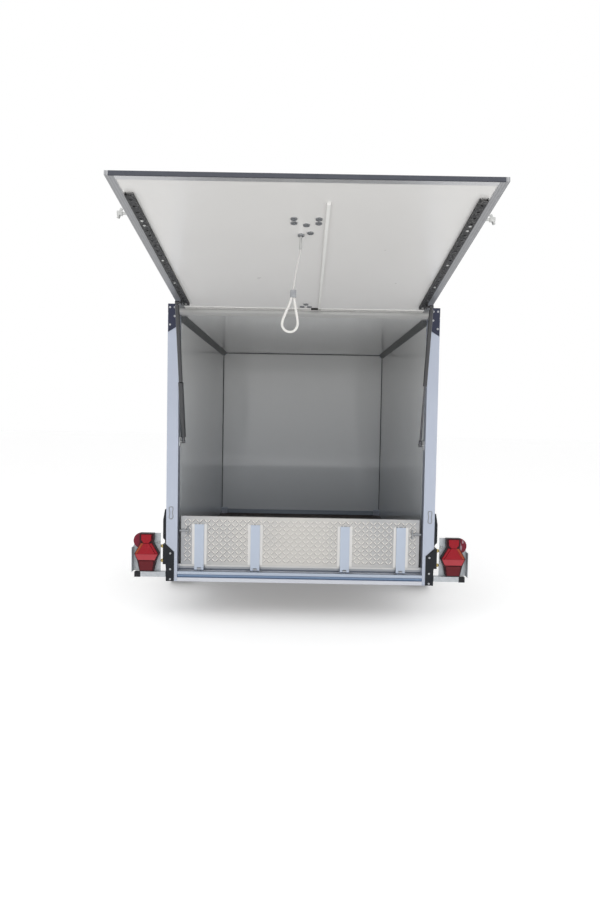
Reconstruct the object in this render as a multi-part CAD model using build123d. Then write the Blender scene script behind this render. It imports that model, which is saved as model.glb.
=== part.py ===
"""Box trailer with a top-hung tailgate held open on two gas struts and a low drop flap behind it.

Millimetres. X points right as seen from behind, Y forward along the drawbar, Z up.
Every piece is modelled with Y counted from the rear face of the portal and Z from the underside of the sill.
At the end it is moved by PORTAL_Y and up by GROUND_CLEARANCE, so that the trailer stands over its origin.
"""

import os
from math import atan2, cos, degrees, hypot, radians, sin

from build123d import *

# Running gear
GROUND_CLEARANCE = 210.0
TYRE_RADIUS = 243.0
TYRE_WIDTH = 145.0
RIM_RADIUS = 127.0
RIM_SHEET = 5.0
RIM_WELL = 26.0
RIM_SLOTS = 10
RIM_SLOT = 8.0
AXLE_Y = 915.0
SPINDLE_RADIUS = 17.0
SPINDLE_CLEARANCE = 0.3
HUB_RADIUS = 42.0
BEAM_SIZE = 50.0
BEAM_SHEET = 4.0
ARM_REACH = 150.0
ARM_GAP = 3.0
ARM_THICKNESS = 12.0
ARM_HEIGHT = 60.0
WHEEL_GAP = 6.0
MUDGUARD_GAP = 34.0
MUDGUARD_SHEET = 3.0
MUDGUARD_LIP = 12.0
MUDGUARD_FLANGE = 30.0
MUDGUARD_INSET = 7.0
MUDGUARD_REAR = 48.0
MUDGUARD_FRONT = 74.0

# Box body
SILL_HEIGHT = 79.0
INNER_LENGTH = 2030.0
INNER_WIDTH = 1250.0
INNER_HEIGHT = 1266.0
WALL = 25.0
FLOOR_THICKNESS = 18.0
ROOF_THICKNESS = 28.0
COVE = 28.0
BASE_PROFILE_HEIGHT = 31.0
BASE_PROFILE_DEPTH = 12.0
EDGE_LEG = 42.0
EDGE_SHEET = 3.0
BASE_SHELF = 6.0

# Portal frame round the rear opening
PORTAL_COVER = 30.0
PORTAL_DEPTH = 60.0
POST_WIDTH = 58.0
POST_SHEET = 3.0
POST_ROUND = 2.0
PANEL_SLOT = 45.0
HEADER_HEIGHT = 53.0
HEADER_CHAMFER = 13.0
SILL_LIP = 19.0
SILL_GROOVE = 10.0
SILL_BAND = 36.0
SILL_WALL = 16.0
SILL_GUTTER = 24.0
SILL_STEP = 12.0
LUG_WIDTH = 18.0

# Tailgate, drawn shut and then swung up to its open rest
GATE_TILT = 8.2
GATE_FOOT = 36.0
GATE_SIDE_GAP = 4.0
GATE_THICKNESS = 14.0
GATE_PANEL = 10.0
GATE_FRAME = 29.0
GATE_HEAD = 12.0
SEAL_DEPTH = 6.0
SEAL_INSET = 12.0
PIVOT_Y = -25.0
PIVOT_RISE = 36.0
PIVOT_PIN = 4.0
PIN_CLEARANCE = 0.3
RAIL_SIDE_GAP = 5.0
RAIL_WIDTH = 28.0
RAIL_DEPTH = 10.0
RAIL_SHEET = 2.5
RAIL_START = 70.0
RAIL_FREE = 117.0
RAIL_HOLE = 5.0
RAIL_PITCH = 48.0
STUD_TAB = 18.0
KNOB_FREE = 287.0
KNOB_REACH = 24.0
KNOB_STEM = 5.0
KNOB_BOSS = 9.0
KNOB_BAR = 5.5
KNOB_HALF = 17.0
CUP_RADIUS = 12.0
CUP_HEIGHT = 4.0
CUP_RIM = 3.0
DUCT_X = 74.0
DUCT_WIDTH = 12.0
DUCT_HEIGHT = 8.0
DUCT_START = 30.0
DUCT_FREE = 166.0
GLAND_RADIUS = 5.0
GLAND_REACH = 40.0

# Gas struts
STRUT_SIDE = 19.0
STRUT_ALONG = 150.0
STRUT_OFFSET = 27.0
STRUT_FOOT_Y = 45.0
STRUT_DROP = 672.0
STRUT_CYLINDER = 10.0
STRUT_CYLINDER_LENGTH = 388.0
STRUT_BORE_DEPTH = 260.0
STRUT_ROD = 5.0
STRUT_EYE = 8.0
STRUT_EYE_WIDTH = 18.0
STRUT_NECK = 6.0
STRUT_NECK_LENGTH = 14.0
ROD_FERRULE = 8.0
ROD_FERRULE_LENGTH = 26.0
ROD_OVERLAP = 30.0
SLEEVE_OUTER = 13.0
SLEEVE_INNER = 11.0
SLEEVE_GAP = 4.0
SLEEVE_CAP = 4.0
SLEEVE_FIT = 0.1
ROD_CLEARANCE = 0.4
STUD_RADIUS = 5.0
STUD_REACH = 4.0

# Drop flap in the lower part of the opening
FLAP_GAP = 1.0
FLAP_HEIGHT = 249.0
FLAP_SIDE_GAP = 13.0
FLAP_FACE_Y = 34.0
FLAP_SHEET = 3.0
FLAP_FOLD = 18.0
FLAP_AXIS_Y = 28.0
FLAP_AXIS_DROP = 22.0
FLAP_OPEN = 92.0
STRAP_EDGE = 94.0
STRAP_SPACING = 286.0
STRAP_WEB = 47.0
STRAP_FOOT = 75.0
STRAP_RISE = 10.0
STRAP_DROP = 40.0
STRAP_SHEET = 2.5
HINGE_ROD = 4.0
KNUCKLE = 7.0
BOLT_DROP = 74.0
BOLT_RADIUS = 5.0
BOLT_SIDE_GAP = 6.0
BOLT_LENGTH = 44.0
BOLT_HANDLE = 44.0

# Ironwork on the posts
PLATE = 3.0
HINGE_PLATE_INSET = 14.0
HINGE_PLATE_EDGE = 2.0
HINGE_PLATE_DROP = 123.0
HINGE_PLATE_SLANT = 26.0
HINGE_EAR = 14.0
CORNER_PLATE_TOP = 188.0
CORNER_PLATE_WIDTH = 41.0
CORNER_PLATE_INSET = 16.0
CORNER_PLATE_SLANT = 38.0
CORNER_WING_BOTTOM = 86.0
CORNER_WING = 15.0
LATCH_BOTTOM = 205.0
LATCH_TOP = 365.0
LATCH_WIDTH = 26.0
LATCH_RISE = 13.0
LOOP_WIDTH = 24.0
LOOP_LENGTH = 66.0
LOOP_WIRE = 4.0
LOOP_INSET = 25.0

# Tail lamps on their brackets: heights, and half widths at those heights
LAMP_SIDE = 95.0
LAMP_DEPTH = 34.0
LENS_RISE = 10.0
FACET_RISE = 7.0
LAMP_TOP = 239.0
LAMP_NECK = 212.0
LAMP_WAIST = 195.0
LAMP_WIDE = 140.0
LAMP_LOW = 109.0
LAMP_FOOT = 57.0
LAMP_TOP_HALF = 25.0
LAMP_WAIST_HALF = 13.0
LAMP_WIDE_HALF = 57.0
LAMP_TRIANGLE_HALF = 45.0
LAMP_LOW_HALF = 42.0
LAMP_FOOT_HALF = 30.0
LAMP_SHOULDER = 32.0
LAMP_RIM = 5.0
FACET_SEAM = 1.0
MARKER_SIDE = 30.0
MARKER_HEIGHT = 204.0
MARKER_RADIUS = 40.0
MARKER_DEPTH = 16.0
BRACKET_BAR = 26.0
BRACKET_BAR_Z = 22.0
BRACKET_BAR_DEPTH = 30.0
BRACKET_BAR_LENGTH = 127.0
BRACKET_START = 30.0
BRACKET_WIDTH = 140.0
BRACKET_TOP = 242.0
BRACKET_CORNER = 35.0
BRACKET_FLANGE = 40.0
BRACKET_PLATE_Y = 20.0
CAP_LENGTH = 31.0
CAP_RIM = 2.0

# Drawbar, coupling and jockey wheel
DRAWBAR_SPREAD = 430.0
DRAWBAR_BEAM = 50.0
DRAWBAR_SHEET = 4.0
BEARER_DEPTH = 130.0
NOSE_BEAM = 60.0
NOSE_START = 2560.0
NOSE_END = 3080.0
COUPLING_Y = 3190.0
BALL_RADIUS = 25.25
SOCKET_DEPTH = 18.0
COUPLING_WALL = 9.0
COUPLING_LIFT = 22.0
COUPLING_NECK = 34.0
COUPLING_GRIP = 150.0
JOCKEY_Y = 2880.0
JOCKEY_X = 96.0
JOCKEY_TUBE = 24.0
JOCKEY_LEG = 20.0
JOCKEY_LIFT = 62.0
JOCKEY_TUBE_LENGTH = 366.0
JOCKEY_RADIUS = 100.0
JOCKEY_WIDTH = 58.0
JOCKEY_TRAIL = 38.0
JOCKEY_FORK_HEIGHT = 118.0
JOCKEY_STOP = 6.0
CRANK_REACH = 104.0
CRANK_GRIP = 9.0
CRANK_ARM = 6.0

# Sizes that follow from those above
FLOOR_TOP = SILL_HEIGHT
FLOOR_BOTTOM = FLOOR_TOP - FLOOR_THICKNESS
CEILING = FLOOR_TOP + INNER_HEIGHT
ROOF_TOP = CEILING + ROOF_THICKNESS
INNER_HALF = INNER_WIDTH / 2
WALL_OUT = INNER_HALF + WALL
FRONT_OUT = INNER_LENGTH + WALL
PORTAL_HALF = WALL_OUT + PORTAL_COVER
POST_INNER = PORTAL_HALF - POST_WIDTH
PANEL_START = PORTAL_DEPTH - PANEL_SLOT
HEADER_TOP = CEILING + HEADER_HEIGHT
BEAM_TOP = FLOOR_BOTTOM - BASE_SHELF
BEAM_BOTTOM = BEAM_TOP - BEAM_SIZE
AXLE_Z = TYRE_RADIUS - GROUND_CLEARANCE
BEAM_Y = AXLE_Y + ARM_REACH
ARM_X = WALL_OUT + BASE_SHELF + ARM_GAP
WHEEL_X = ARM_X + ARM_THICKNESS + WHEEL_GAP + TYRE_WIDTH / 2
FLAP_BOTTOM = FLOOR_TOP + FLAP_GAP
FLAP_TOP = FLAP_BOTTOM + FLAP_HEIGHT
FLAP_AXIS_Z = FLAP_BOTTOM - FLAP_AXIS_DROP
FLAP_HALF_WIDTH = POST_INNER - FLAP_SIDE_GAP
STRAP_OUTER_X = FLAP_HALF_WIDTH - STRAP_EDGE
STRAP_X = (STRAP_OUTER_X - STRAP_SPACING, STRAP_OUTER_X)
BOLT_TIP_X = POST_INNER - BOLT_SIDE_GAP
PIVOT_HEIGHT = CEILING + PIVOT_RISE
GATE_LENGTH = PIVOT_HEIGHT - GATE_FOOT
GATE_HALF_WIDTH = POST_INNER - GATE_SIDE_GAP
GATE_OPEN = 90 + GATE_TILT
RAIL_OUTER_X = GATE_HALF_WIDTH - GATE_FRAME - RAIL_SIDE_GAP
RAIL_INNER_X = RAIL_OUTER_X - RAIL_WIDTH
RAIL_END = GATE_LENGTH - RAIL_FREE
KNOB_ALONG = GATE_LENGTH - KNOB_FREE
DUCT_END = GATE_LENGTH - DUCT_FREE
STRUT_X = RAIL_OUTER_X + STRUT_SIDE
STRUT_FOOT_HEIGHT = PIVOT_HEIGHT - STRUT_DROP
HINGE_PLATE_IN = POST_INNER + HINGE_PLATE_INSET
HINGE_PLATE_OUT = PORTAL_HALF - HINGE_PLATE_EDGE
CORNER_PLATE_IN = POST_INNER + CORNER_PLATE_INSET
LOOP_X = PORTAL_HALF - LOOP_INSET
LAMP_X = PORTAL_HALF + LAMP_SIDE
GATE_IN_Y = PIVOT_Y + GATE_THICKNESS / 2
GATE_OUT_Y = PIVOT_Y - GATE_THICKNESS / 2
NOSE_TOP = BEAM_TOP + NOSE_BEAM
COUPLING_Z = NOSE_TOP + COUPLING_LIFT
COUPLING_NOSE = COUPLING_Y + BALL_RADIUS + COUPLING_WALL
JOCKEY_AXLE_Z = JOCKEY_RADIUS - GROUND_CLEARANCE
JOCKEY_FORK_TOP = JOCKEY_AXLE_Z + JOCKEY_FORK_HEIGHT
JOCKEY_TUBE_BOTTOM = BEAM_TOP + JOCKEY_LIFT
JOCKEY_TUBE_TOP = JOCKEY_TUBE_BOTTOM + JOCKEY_TUBE_LENGTH
JOCKEY_STROKE = JOCKEY_TUBE_BOTTOM - JOCKEY_FORK_TOP - JOCKEY_STOP
TILT = radians(GATE_TILT)
REAR_REACH = GATE_LENGTH * cos(TILT) + GATE_THICKNESS / 2 * sin(TILT) - PIVOT_Y
PORTAL_Y = (REAR_REACH - COUPLING_NOSE) / 2
HINGE_LINE = Axis((0, PIVOT_Y, PIVOT_HEIGHT), (1, 0, 0))


def block(x, y, z):
    """A box between two values on each axis."""
    size = Box(x[1] - x[0], y[1] - y[0], z[1] - z[0])
    return Pos((x[0] + x[1]) / 2, (y[0] + y[1]) / 2, (z[0] + z[1]) / 2) * size


def outline(points):
    """A flat face inside a closed run of straight edges."""
    return make_face(Polyline(*points, close=True).edges())


def along_x(face, x):
    """A face drawn in Y and Z, drawn out between two values of X."""
    return extrude(Plane.YZ.offset(x[0]) * face, x[1] - x[0])


def along_y(face, y):
    """A face drawn in X and Z, drawn out between two values of Y."""
    return extrude(Plane.XZ.offset(-y[1]) * face, y[1] - y[0])


def along_z(face, z):
    """A face drawn in X and Y, drawn out between two values of Z."""
    return extrude(Plane.XY.offset(z[0]) * face, z[1] - z[0])


def bar(start, end, radius):
    """A round bar from one point to another."""
    line = Vector(*end) - Vector(*start)
    return extrude(Plane(start, z_dir=line) * Circle(radius), line.length)


def pair(solid):
    """A piece on the right and its mirror image on the left."""
    return [solid, mirror(solid, about=Plane.YZ)]


def swing_up(solid):
    """Turns a piece of the shut tailgate up to the open rest."""
    return solid.rotate(HINGE_LINE, -GATE_OPEN)


def opened(y, z):
    """Where a point of the shut tailgate lies when it is open, in Y and Z."""
    turn = radians(-GATE_OPEN)
    dy, dz = y - PIVOT_Y, z - PIVOT_HEIGHT
    return PIVOT_Y + dy * cos(turn) - dz * sin(turn), PIVOT_HEIGHT + dy * sin(turn) + dz * cos(turn)


def write(node, *solids):
    """Moves the solids of one piece into the trailer's frame and writes them."""
    moved = [Pos(0, PORTAL_Y, GROUND_CLEARANCE) * one for solid in solids for one in solid.solids()]
    export_step(Compound(moved), os.path.join("parts", node + ".step"))


# Load floor, walls and roof of the box
def box_panels():
    floor_y = (PORTAL_DEPTH, INNER_LENGTH - BASE_PROFILE_DEPTH)
    floor = block((-INNER_HALF, INNER_HALF), floor_y, (FLOOR_BOTTOM, FLOOR_TOP))
    wall = block((INNER_HALF, WALL_OUT), (PANEL_START, FRONT_OUT), (FLOOR_BOTTOM, CEILING))
    front = block((-INNER_HALF, INNER_HALF), (INNER_LENGTH, FRONT_OUT), (FLOOR_BOTTOM, CEILING))
    roof = block((-WALL_OUT, WALL_OUT), (PANEL_START, FRONT_OUT), (CEILING, ROOF_TOP))
    write("floor", floor)
    write("sidewall_right", wall)
    write("sidewall_left", mirror(wall, about=Plane.YZ))
    write("bulkhead", front)
    write("roof", roof)


# Strips in the inner corners: slanted coves under the roof and a profile along the bulkhead's foot
def inner_strips():
    cove = outline([(INNER_HALF - COVE, CEILING), (INNER_HALF, CEILING), (INNER_HALF, CEILING - COVE)])
    write("roof_coves", *pair(along_y(cove, (PORTAL_DEPTH, INNER_LENGTH))))
    foot = outline([
        (INNER_LENGTH - BASE_PROFILE_DEPTH, FLOOR_BOTTOM),
        (INNER_LENGTH, FLOOR_BOTTOM),
        (INNER_LENGTH, FLOOR_TOP + BASE_PROFILE_HEIGHT),
        (INNER_LENGTH - BASE_PROFILE_DEPTH / 2, FLOOR_TOP + BASE_PROFILE_HEIGHT),
        (INNER_LENGTH - BASE_PROFILE_DEPTH, FLOOR_TOP),
    ])
    write("bulkhead_profile", along_x(foot, (-INNER_HALF, INNER_HALF)))


# Aluminium angles over the outer edges of the box and the rails under its walls
def edge_profiles():
    corner = outline([
        (WALL_OUT - EDGE_LEG, FRONT_OUT),
        (WALL_OUT, FRONT_OUT),
        (WALL_OUT, FRONT_OUT - EDGE_LEG),
        (WALL_OUT + EDGE_SHEET, FRONT_OUT - EDGE_LEG),
        (WALL_OUT + EDGE_SHEET, FRONT_OUT + EDGE_SHEET),
        (WALL_OUT - EDGE_LEG, FRONT_OUT + EDGE_SHEET),
    ])
    corner_top = ROOF_TOP - EDGE_LEG
    write("corner_angles", *pair(along_z(corner, (FLOOR_TOP + EDGE_LEG, corner_top))))
    eave = outline([
        (WALL_OUT - EDGE_LEG, ROOF_TOP),
        (WALL_OUT, ROOF_TOP),
        (WALL_OUT, corner_top),
        (WALL_OUT + EDGE_SHEET, corner_top),
        (WALL_OUT + EDGE_SHEET, ROOF_TOP + EDGE_SHEET),
        (WALL_OUT - EDGE_LEG, ROOF_TOP + EDGE_SHEET),
    ])
    front_edge = outline([
        (FRONT_OUT - EDGE_LEG, ROOF_TOP),
        (FRONT_OUT, ROOF_TOP),
        (FRONT_OUT, corner_top),
        (FRONT_OUT + EDGE_SHEET, corner_top),
        (FRONT_OUT + EDGE_SHEET, ROOF_TOP + EDGE_SHEET),
        (FRONT_OUT - EDGE_LEG, ROOF_TOP + EDGE_SHEET),
    ])
    eaves = pair(along_y(eave, (PORTAL_DEPTH, FRONT_OUT - EDGE_LEG)))
    write("roof_angles", *eaves, along_x(front_edge, (-WALL_OUT, WALL_OUT)))
    rail = outline([
        (INNER_HALF - EDGE_LEG, FLOOR_BOTTOM),
        (WALL_OUT, FLOOR_BOTTOM),
        (WALL_OUT, FLOOR_TOP + EDGE_LEG),
        (WALL_OUT + BASE_SHELF, FLOOR_TOP + EDGE_LEG),
        (WALL_OUT + BASE_SHELF, FLOOR_BOTTOM - BASE_SHELF),
        (INNER_HALF - EDGE_LEG, FLOOR_BOTTOM - BASE_SHELF),
    ])
    front_rail = outline([
        (FRONT_OUT - EDGE_LEG, FLOOR_BOTTOM),
        (FRONT_OUT, FLOOR_BOTTOM),
        (FRONT_OUT, FLOOR_TOP + EDGE_LEG),
        (FRONT_OUT + BASE_SHELF, FLOOR_TOP + EDGE_LEG),
        (FRONT_OUT + BASE_SHELF, FLOOR_BOTTOM - BASE_SHELF),
        (FRONT_OUT - EDGE_LEG, FLOOR_BOTTOM - BASE_SHELF),
    ])
    rail_reach = INNER_HALF - EDGE_LEG
    sides = pair(along_y(rail, (PORTAL_DEPTH, FRONT_OUT)))
    write("base_rails", *sides, along_x(front_rail, (-rail_reach, rail_reach)))


# Portal: two posts slotted over the walls, a header over the roof's rear edge and the sill below
def portal():
    middle = Pos((POST_INNER + PORTAL_HALF) / 2, PORTAL_DEPTH / 2)
    post = middle * RectangleRounded(POST_WIDTH, PORTAL_DEPTH, POST_ROUND)
    slot = Pos((INNER_HALF + WALL_OUT) / 2, (PANEL_START + PORTAL_DEPTH) / 2) * Rectangle(WALL, PANEL_SLOT)
    chamber_x = (WALL_OUT + POST_SHEET, PORTAL_HALF - POST_SHEET)
    chamber = Pos(sum(chamber_x) / 2, PORTAL_DEPTH / 2) * Rectangle(
        chamber_x[1] - chamber_x[0], PORTAL_DEPTH - 2 * POST_SHEET
    )
    right = along_z(post - slot - chamber, (0, CEILING))
    write("post_right", right)
    write("post_left", mirror(right, about=Plane.YZ))
    header = outline([
        (0, CEILING + HEADER_CHAMFER),
        (HEADER_CHAMFER, CEILING),
        (PANEL_START, CEILING),
        (PANEL_START, ROOF_TOP),
        (PORTAL_DEPTH, ROOF_TOP),
        (PORTAL_DEPTH, HEADER_TOP - PANEL_START),
        (PORTAL_DEPTH - PANEL_START, HEADER_TOP),
        (0, HEADER_TOP),
    ])
    write("header", along_x(header, (-PORTAL_HALF, PORTAL_HALF)))


# Sill: an extruded threshold with a lip, a groove and a gutter that hides the flap's hinge lugs
def sill():
    ledge = 2.0
    slope = 4.0
    wall_top = FLAP_AXIS_Z - KNUCKLE - 1
    step_y = PORTAL_DEPTH - SILL_STEP
    section = outline([
        (0, 0),
        (0, SILL_LIP),
        (SILL_GROOVE, SILL_LIP + slope),
        (SILL_GROOVE, SILL_BAND - slope),
        (ledge, SILL_BAND),
        (ledge, wall_top),
        (SILL_WALL, wall_top),
        (SILL_WALL, SILL_GUTTER),
        (step_y, SILL_GUTTER),
        (step_y, FLOOR_TOP),
        (PORTAL_DEPTH, FLOOR_TOP),
        (PORTAL_DEPTH, 0),
    ])
    solid = along_x(section, (-POST_INNER, POST_INNER))
    lug = outline([
        (FLAP_AXIS_Y - KNUCKLE, SILL_GUTTER),
        (FLAP_AXIS_Y + KNUCKLE, SILL_GUTTER),
        (FLAP_AXIS_Y + KNUCKLE, FLAP_AXIS_Z),
        (FLAP_AXIS_Y - KNUCKLE, FLAP_AXIS_Z),
    ])
    crown = Pos(FLAP_AXIS_Y, FLAP_AXIS_Z) * Circle(KNUCKLE)
    eye = Pos(FLAP_AXIS_Y, FLAP_AXIS_Z) * Circle(HINGE_ROD)
    pin_half = STRAP_WEB / 2 + ledge
    pins = []
    for strap in STRAP_X:
        for middle in (-strap, strap):
            solid += along_x(lug + crown - eye, (middle - LUG_WIDTH / 2, middle + LUG_WIDTH / 2))
            ends = [(middle + way * pin_half, FLAP_AXIS_Y, FLAP_AXIS_Z) for way in (-1, 1)]
            pins.append(bar(*ends, HINGE_ROD))
    write("sill", solid)
    write("flap_hinge_rod", *pins)


# Hinge plates riveted to the posts' heads, each with an ear and the pivot pin that carries the tailgate
def hinge_plates():
    face = outline([
        (HINGE_PLATE_IN, HEADER_TOP),
        (HINGE_PLATE_OUT, HEADER_TOP),
        (HINGE_PLATE_OUT, PIVOT_HEIGHT - HINGE_PLATE_DROP),
        (HINGE_PLATE_IN, PIVOT_HEIGHT - HINGE_PLATE_DROP + HINGE_PLATE_SLANT),
    ])
    plate = along_y(face, (-PLATE, 0))
    ear_face = outline([
        (PIVOT_Y, PIVOT_HEIGHT - HINGE_EAR),
        (0, PIVOT_HEIGHT - HINGE_EAR),
        (0, PIVOT_HEIGHT + HINGE_EAR),
        (PIVOT_Y, PIVOT_HEIGHT + HINGE_EAR),
    ])
    ear_face += Pos(PIVOT_Y, PIVOT_HEIGHT) * Circle(HINGE_EAR)
    ear = along_x(ear_face, (HINGE_PLATE_IN - PLATE, HINGE_PLATE_IN + PLATE))
    pin_tip = GATE_HALF_WIDTH - GATE_FRAME * 0.7
    pin = bar((pin_tip, PIVOT_Y, PIVOT_HEIGHT), (HINGE_PLATE_IN, PIVOT_Y, PIVOT_HEIGHT), PIVOT_PIN)
    write("hinge_plates", *pair(plate + ear + pin))


# Black corner plates over the posts' feet, with a wing bent round the outer side
def corner_plates():
    low_out = CORNER_PLATE_IN + CORNER_PLATE_WIDTH
    face = outline([
        (CORNER_PLATE_IN, 0),
        (low_out, 0),
        (low_out, CORNER_WING_BOTTOM),
        (PORTAL_HALF + CORNER_WING, CORNER_WING_BOTTOM),
        (PORTAL_HALF + CORNER_WING, CORNER_PLATE_TOP),
        (low_out, CORNER_PLATE_TOP),
        (CORNER_PLATE_IN, CORNER_PLATE_TOP - CORNER_PLATE_SLANT),
    ])
    plate = along_y(face, (-PLATE, 0))
    wing_y = (0, PORTAL_DEPTH * 0.75)
    wing = block((PORTAL_HALF, PORTAL_HALF + CORNER_WING), wing_y, (CORNER_WING_BOTTOM, CORNER_PLATE_TOP))
    write("corner_plates", *pair(plate + wing))


# Over-centre latches on the posts' outer sides, with the wire loops that catch the tailgate's knobs
def latches():
    base_x = PORTAL_HALF + PLATE
    base_y = (PLATE, PLATE + LATCH_WIDTH + 2 * PLATE)
    base = block((PORTAL_HALF, base_x), base_y, (LATCH_BOTTOM + LATCH_RISE, LATCH_TOP - LATCH_RISE))
    lever = outline([
        (base_x, LATCH_BOTTOM),
        (base_x + LATCH_RISE, LATCH_BOTTOM + LATCH_RISE),
        (base_x + LATCH_RISE, (LATCH_BOTTOM + 2 * LATCH_TOP) / 3),
        (base_x + LATCH_RISE / 3, LATCH_TOP),
        (base_x, LATCH_TOP),
    ])
    arm = along_y(lever, (base_y[0] + PLATE, base_y[1] - PLATE))
    write("latch_levers", *pair(base + arm))
    loop_middle = LATCH_TOP - LOOP_LENGTH / 4
    ring = SlotOverall(LOOP_LENGTH, LOOP_WIDTH, rotation=90)
    ring -= SlotOverall(LOOP_LENGTH - 2 * LOOP_WIRE, LOOP_WIDTH - 2 * LOOP_WIRE, rotation=90)
    loop = along_y(Pos(LOOP_X, loop_middle) * ring, (-LOOP_WIRE, 0))
    write("latch_loops", *pair(loop))


# Lamp brackets: a galvanised bar outside each post with a plate standing on it
def lamp_brackets():
    bar_y = (BRACKET_PLATE_Y + PLATE - BRACKET_BAR_DEPTH, BRACKET_PLATE_Y + PLATE)
    bar_z = (BRACKET_BAR_Z, BRACKET_BAR_Z + BRACKET_BAR)
    bar_end = PORTAL_HALF + BRACKET_BAR_LENGTH
    carrier = block((PORTAL_HALF, bar_end), bar_y, bar_z)
    start = PORTAL_HALF + BRACKET_START
    end = start + BRACKET_WIDTH
    corner_z = BRACKET_TOP - 2 * BRACKET_CORNER
    face = outline([
        (start, bar_z[1]),
        (end, bar_z[1]),
        (end, corner_z),
        (end - BRACKET_CORNER, BRACKET_TOP),
        (start, BRACKET_TOP),
    ])
    carrier += along_y(face, (BRACKET_PLATE_Y, BRACKET_PLATE_Y + PLATE))
    flange_y = (BRACKET_PLATE_Y - BRACKET_FLANGE, BRACKET_PLATE_Y)
    carrier += block((end - PLATE, end), flange_y, (bar_z[1], corner_z))
    write("lamp_brackets", *pair(carrier))
    cap_z = (bar_z[0] - CAP_RIM, bar_z[1] - CAP_RIM)
    return block((bar_end, bar_end + CAP_LENGTH), bar_y, cap_z)


# Tail lamps: a dark housing with a waist, red and amber facets, and a round marker behind its shoulder
def tail_lamps():
    def shape(points):
        return outline([(LAMP_X + x, z) for x, z in points])

    rim = LAMP_RIM
    half = [
        (LAMP_FOOT_HALF + rim, LAMP_FOOT - rim),
        (LAMP_LOW_HALF + rim, LAMP_LOW - rim),
        (LAMP_WIDE_HALF + rim, LAMP_WIDE),
        (LAMP_SHOULDER, LAMP_WAIST),
        (LAMP_TOP_HALF + 2 * rim, LAMP_NECK),
        (LAMP_TOP_HALF + 2 * rim, LAMP_TOP + rim),
    ]
    body = shape(half + [(-x, z) for x, z in reversed(half)])
    housing_y = (BRACKET_PLATE_Y - LAMP_DEPTH, BRACKET_PLATE_Y)
    cap = lamp_brackets()
    write("lamp_housings", *pair(along_y(body, housing_y)), *pair(cap))
    high = (housing_y[0] - LENS_RISE, housing_y[0])
    low = (housing_y[0] - FACET_RISE, housing_y[0])
    seam = FACET_SEAM
    top = [
        (-LAMP_TOP_HALF, LAMP_TOP),
        (LAMP_TOP_HALF, LAMP_TOP),
        (LAMP_TOP_HALF, LAMP_NECK),
        (LAMP_WAIST_HALF, LAMP_WAIST + seam),
        (-LAMP_WAIST_HALF, LAMP_WAIST + seam),
        (-LAMP_TOP_HALF, LAMP_NECK),
    ]
    triangle = [
        (-LAMP_WAIST_HALF, LAMP_WAIST - seam),
        (LAMP_WAIST_HALF, LAMP_WAIST - seam),
        (LAMP_TRIANGLE_HALF, LAMP_WIDE),
        (-LAMP_TRIANGLE_HALF, LAMP_WIDE),
    ]
    band = [
        (-LAMP_WIDE_HALF, LAMP_WIDE - seam),
        (LAMP_WIDE_HALF, LAMP_WIDE - seam),
        (LAMP_LOW_HALF, LAMP_LOW),
        (-LAMP_LOW_HALF, LAMP_LOW),
    ]
    side = [
        (LAMP_WAIST_HALF + seam, LAMP_WAIST - seam),
        (LAMP_SHOULDER - rim, LAMP_WAIST - seam),
        (LAMP_WIDE_HALF, LAMP_WIDE + 2 * seam),
        (LAMP_TRIANGLE_HALF + seam, LAMP_WIDE + 2 * seam),
    ]
    foot = [
        (-LAMP_LOW_HALF + rim, LAMP_LOW - rim),
        (LAMP_LOW_HALF - rim, LAMP_LOW - rim),
        (LAMP_FOOT_HALF, LAMP_FOOT),
        (-LAMP_FOOT_HALF, LAMP_FOOT),
    ]
    inner_side = [(-x, z) for x, z in reversed(side)]
    marker = Pos(LAMP_X + MARKER_SIDE, MARKER_HEIGHT) * Circle(MARKER_RADIUS) - body
    ear = along_y(marker, (BRACKET_PLATE_Y - MARKER_DEPTH, BRACKET_PLATE_Y)).solids().sort_by(Axis.X)[-1]
    red = [ear]
    for points, depth in ((top, high), (triangle, high), (band, low), (inner_side, low), (foot, low)):
        red.append(along_y(shape(points), depth))
    write("lamp_lenses", *[one for lens in red for one in pair(lens)])
    write("lamp_indicators", *pair(along_y(shape(side), low)))


# Tailgate: a sandwich panel in an aluminium edge frame, with a rubber seal along its free edge
def tailgate():
    top = PIVOT_HEIGHT + GATE_HEAD
    foot = PIVOT_HEIGHT - GATE_LENGTH
    inner_x = GATE_HALF_WIDTH - GATE_FRAME
    ring = block((-GATE_HALF_WIDTH, GATE_HALF_WIDTH), (GATE_OUT_Y, GATE_IN_Y), (foot, top))
    ring -= block((-inner_x, inner_x), (GATE_OUT_Y, GATE_IN_Y), (foot + GATE_FRAME, top - GATE_FRAME))
    seal_x = GATE_HALF_WIDTH - SEAL_INSET
    seal = block((-seal_x, seal_x), (GATE_OUT_Y, GATE_IN_Y), (foot, foot + SEAL_DEPTH))
    ring -= seal
    for side in (-1, 1):
        bore = bar(
            (side * (GATE_HALF_WIDTH - GATE_FRAME * 0.8), PIVOT_Y, PIVOT_HEIGHT),
            (side * (GATE_HALF_WIDTH + 1), PIVOT_Y, PIVOT_HEIGHT),
            PIVOT_PIN + PIN_CLEARANCE,
        )
        ring -= bore
    panel_y = (PIVOT_Y - GATE_PANEL / 2, PIVOT_Y + GATE_PANEL / 2)
    panel = block((-inner_x, inner_x), panel_y, (foot + GATE_FRAME, top - GATE_FRAME))
    write("tailgate_frame", swing_up(ring))
    write("tailgate_panel", swing_up(panel))
    write("tailgate_seal", swing_up(seal))


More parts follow.
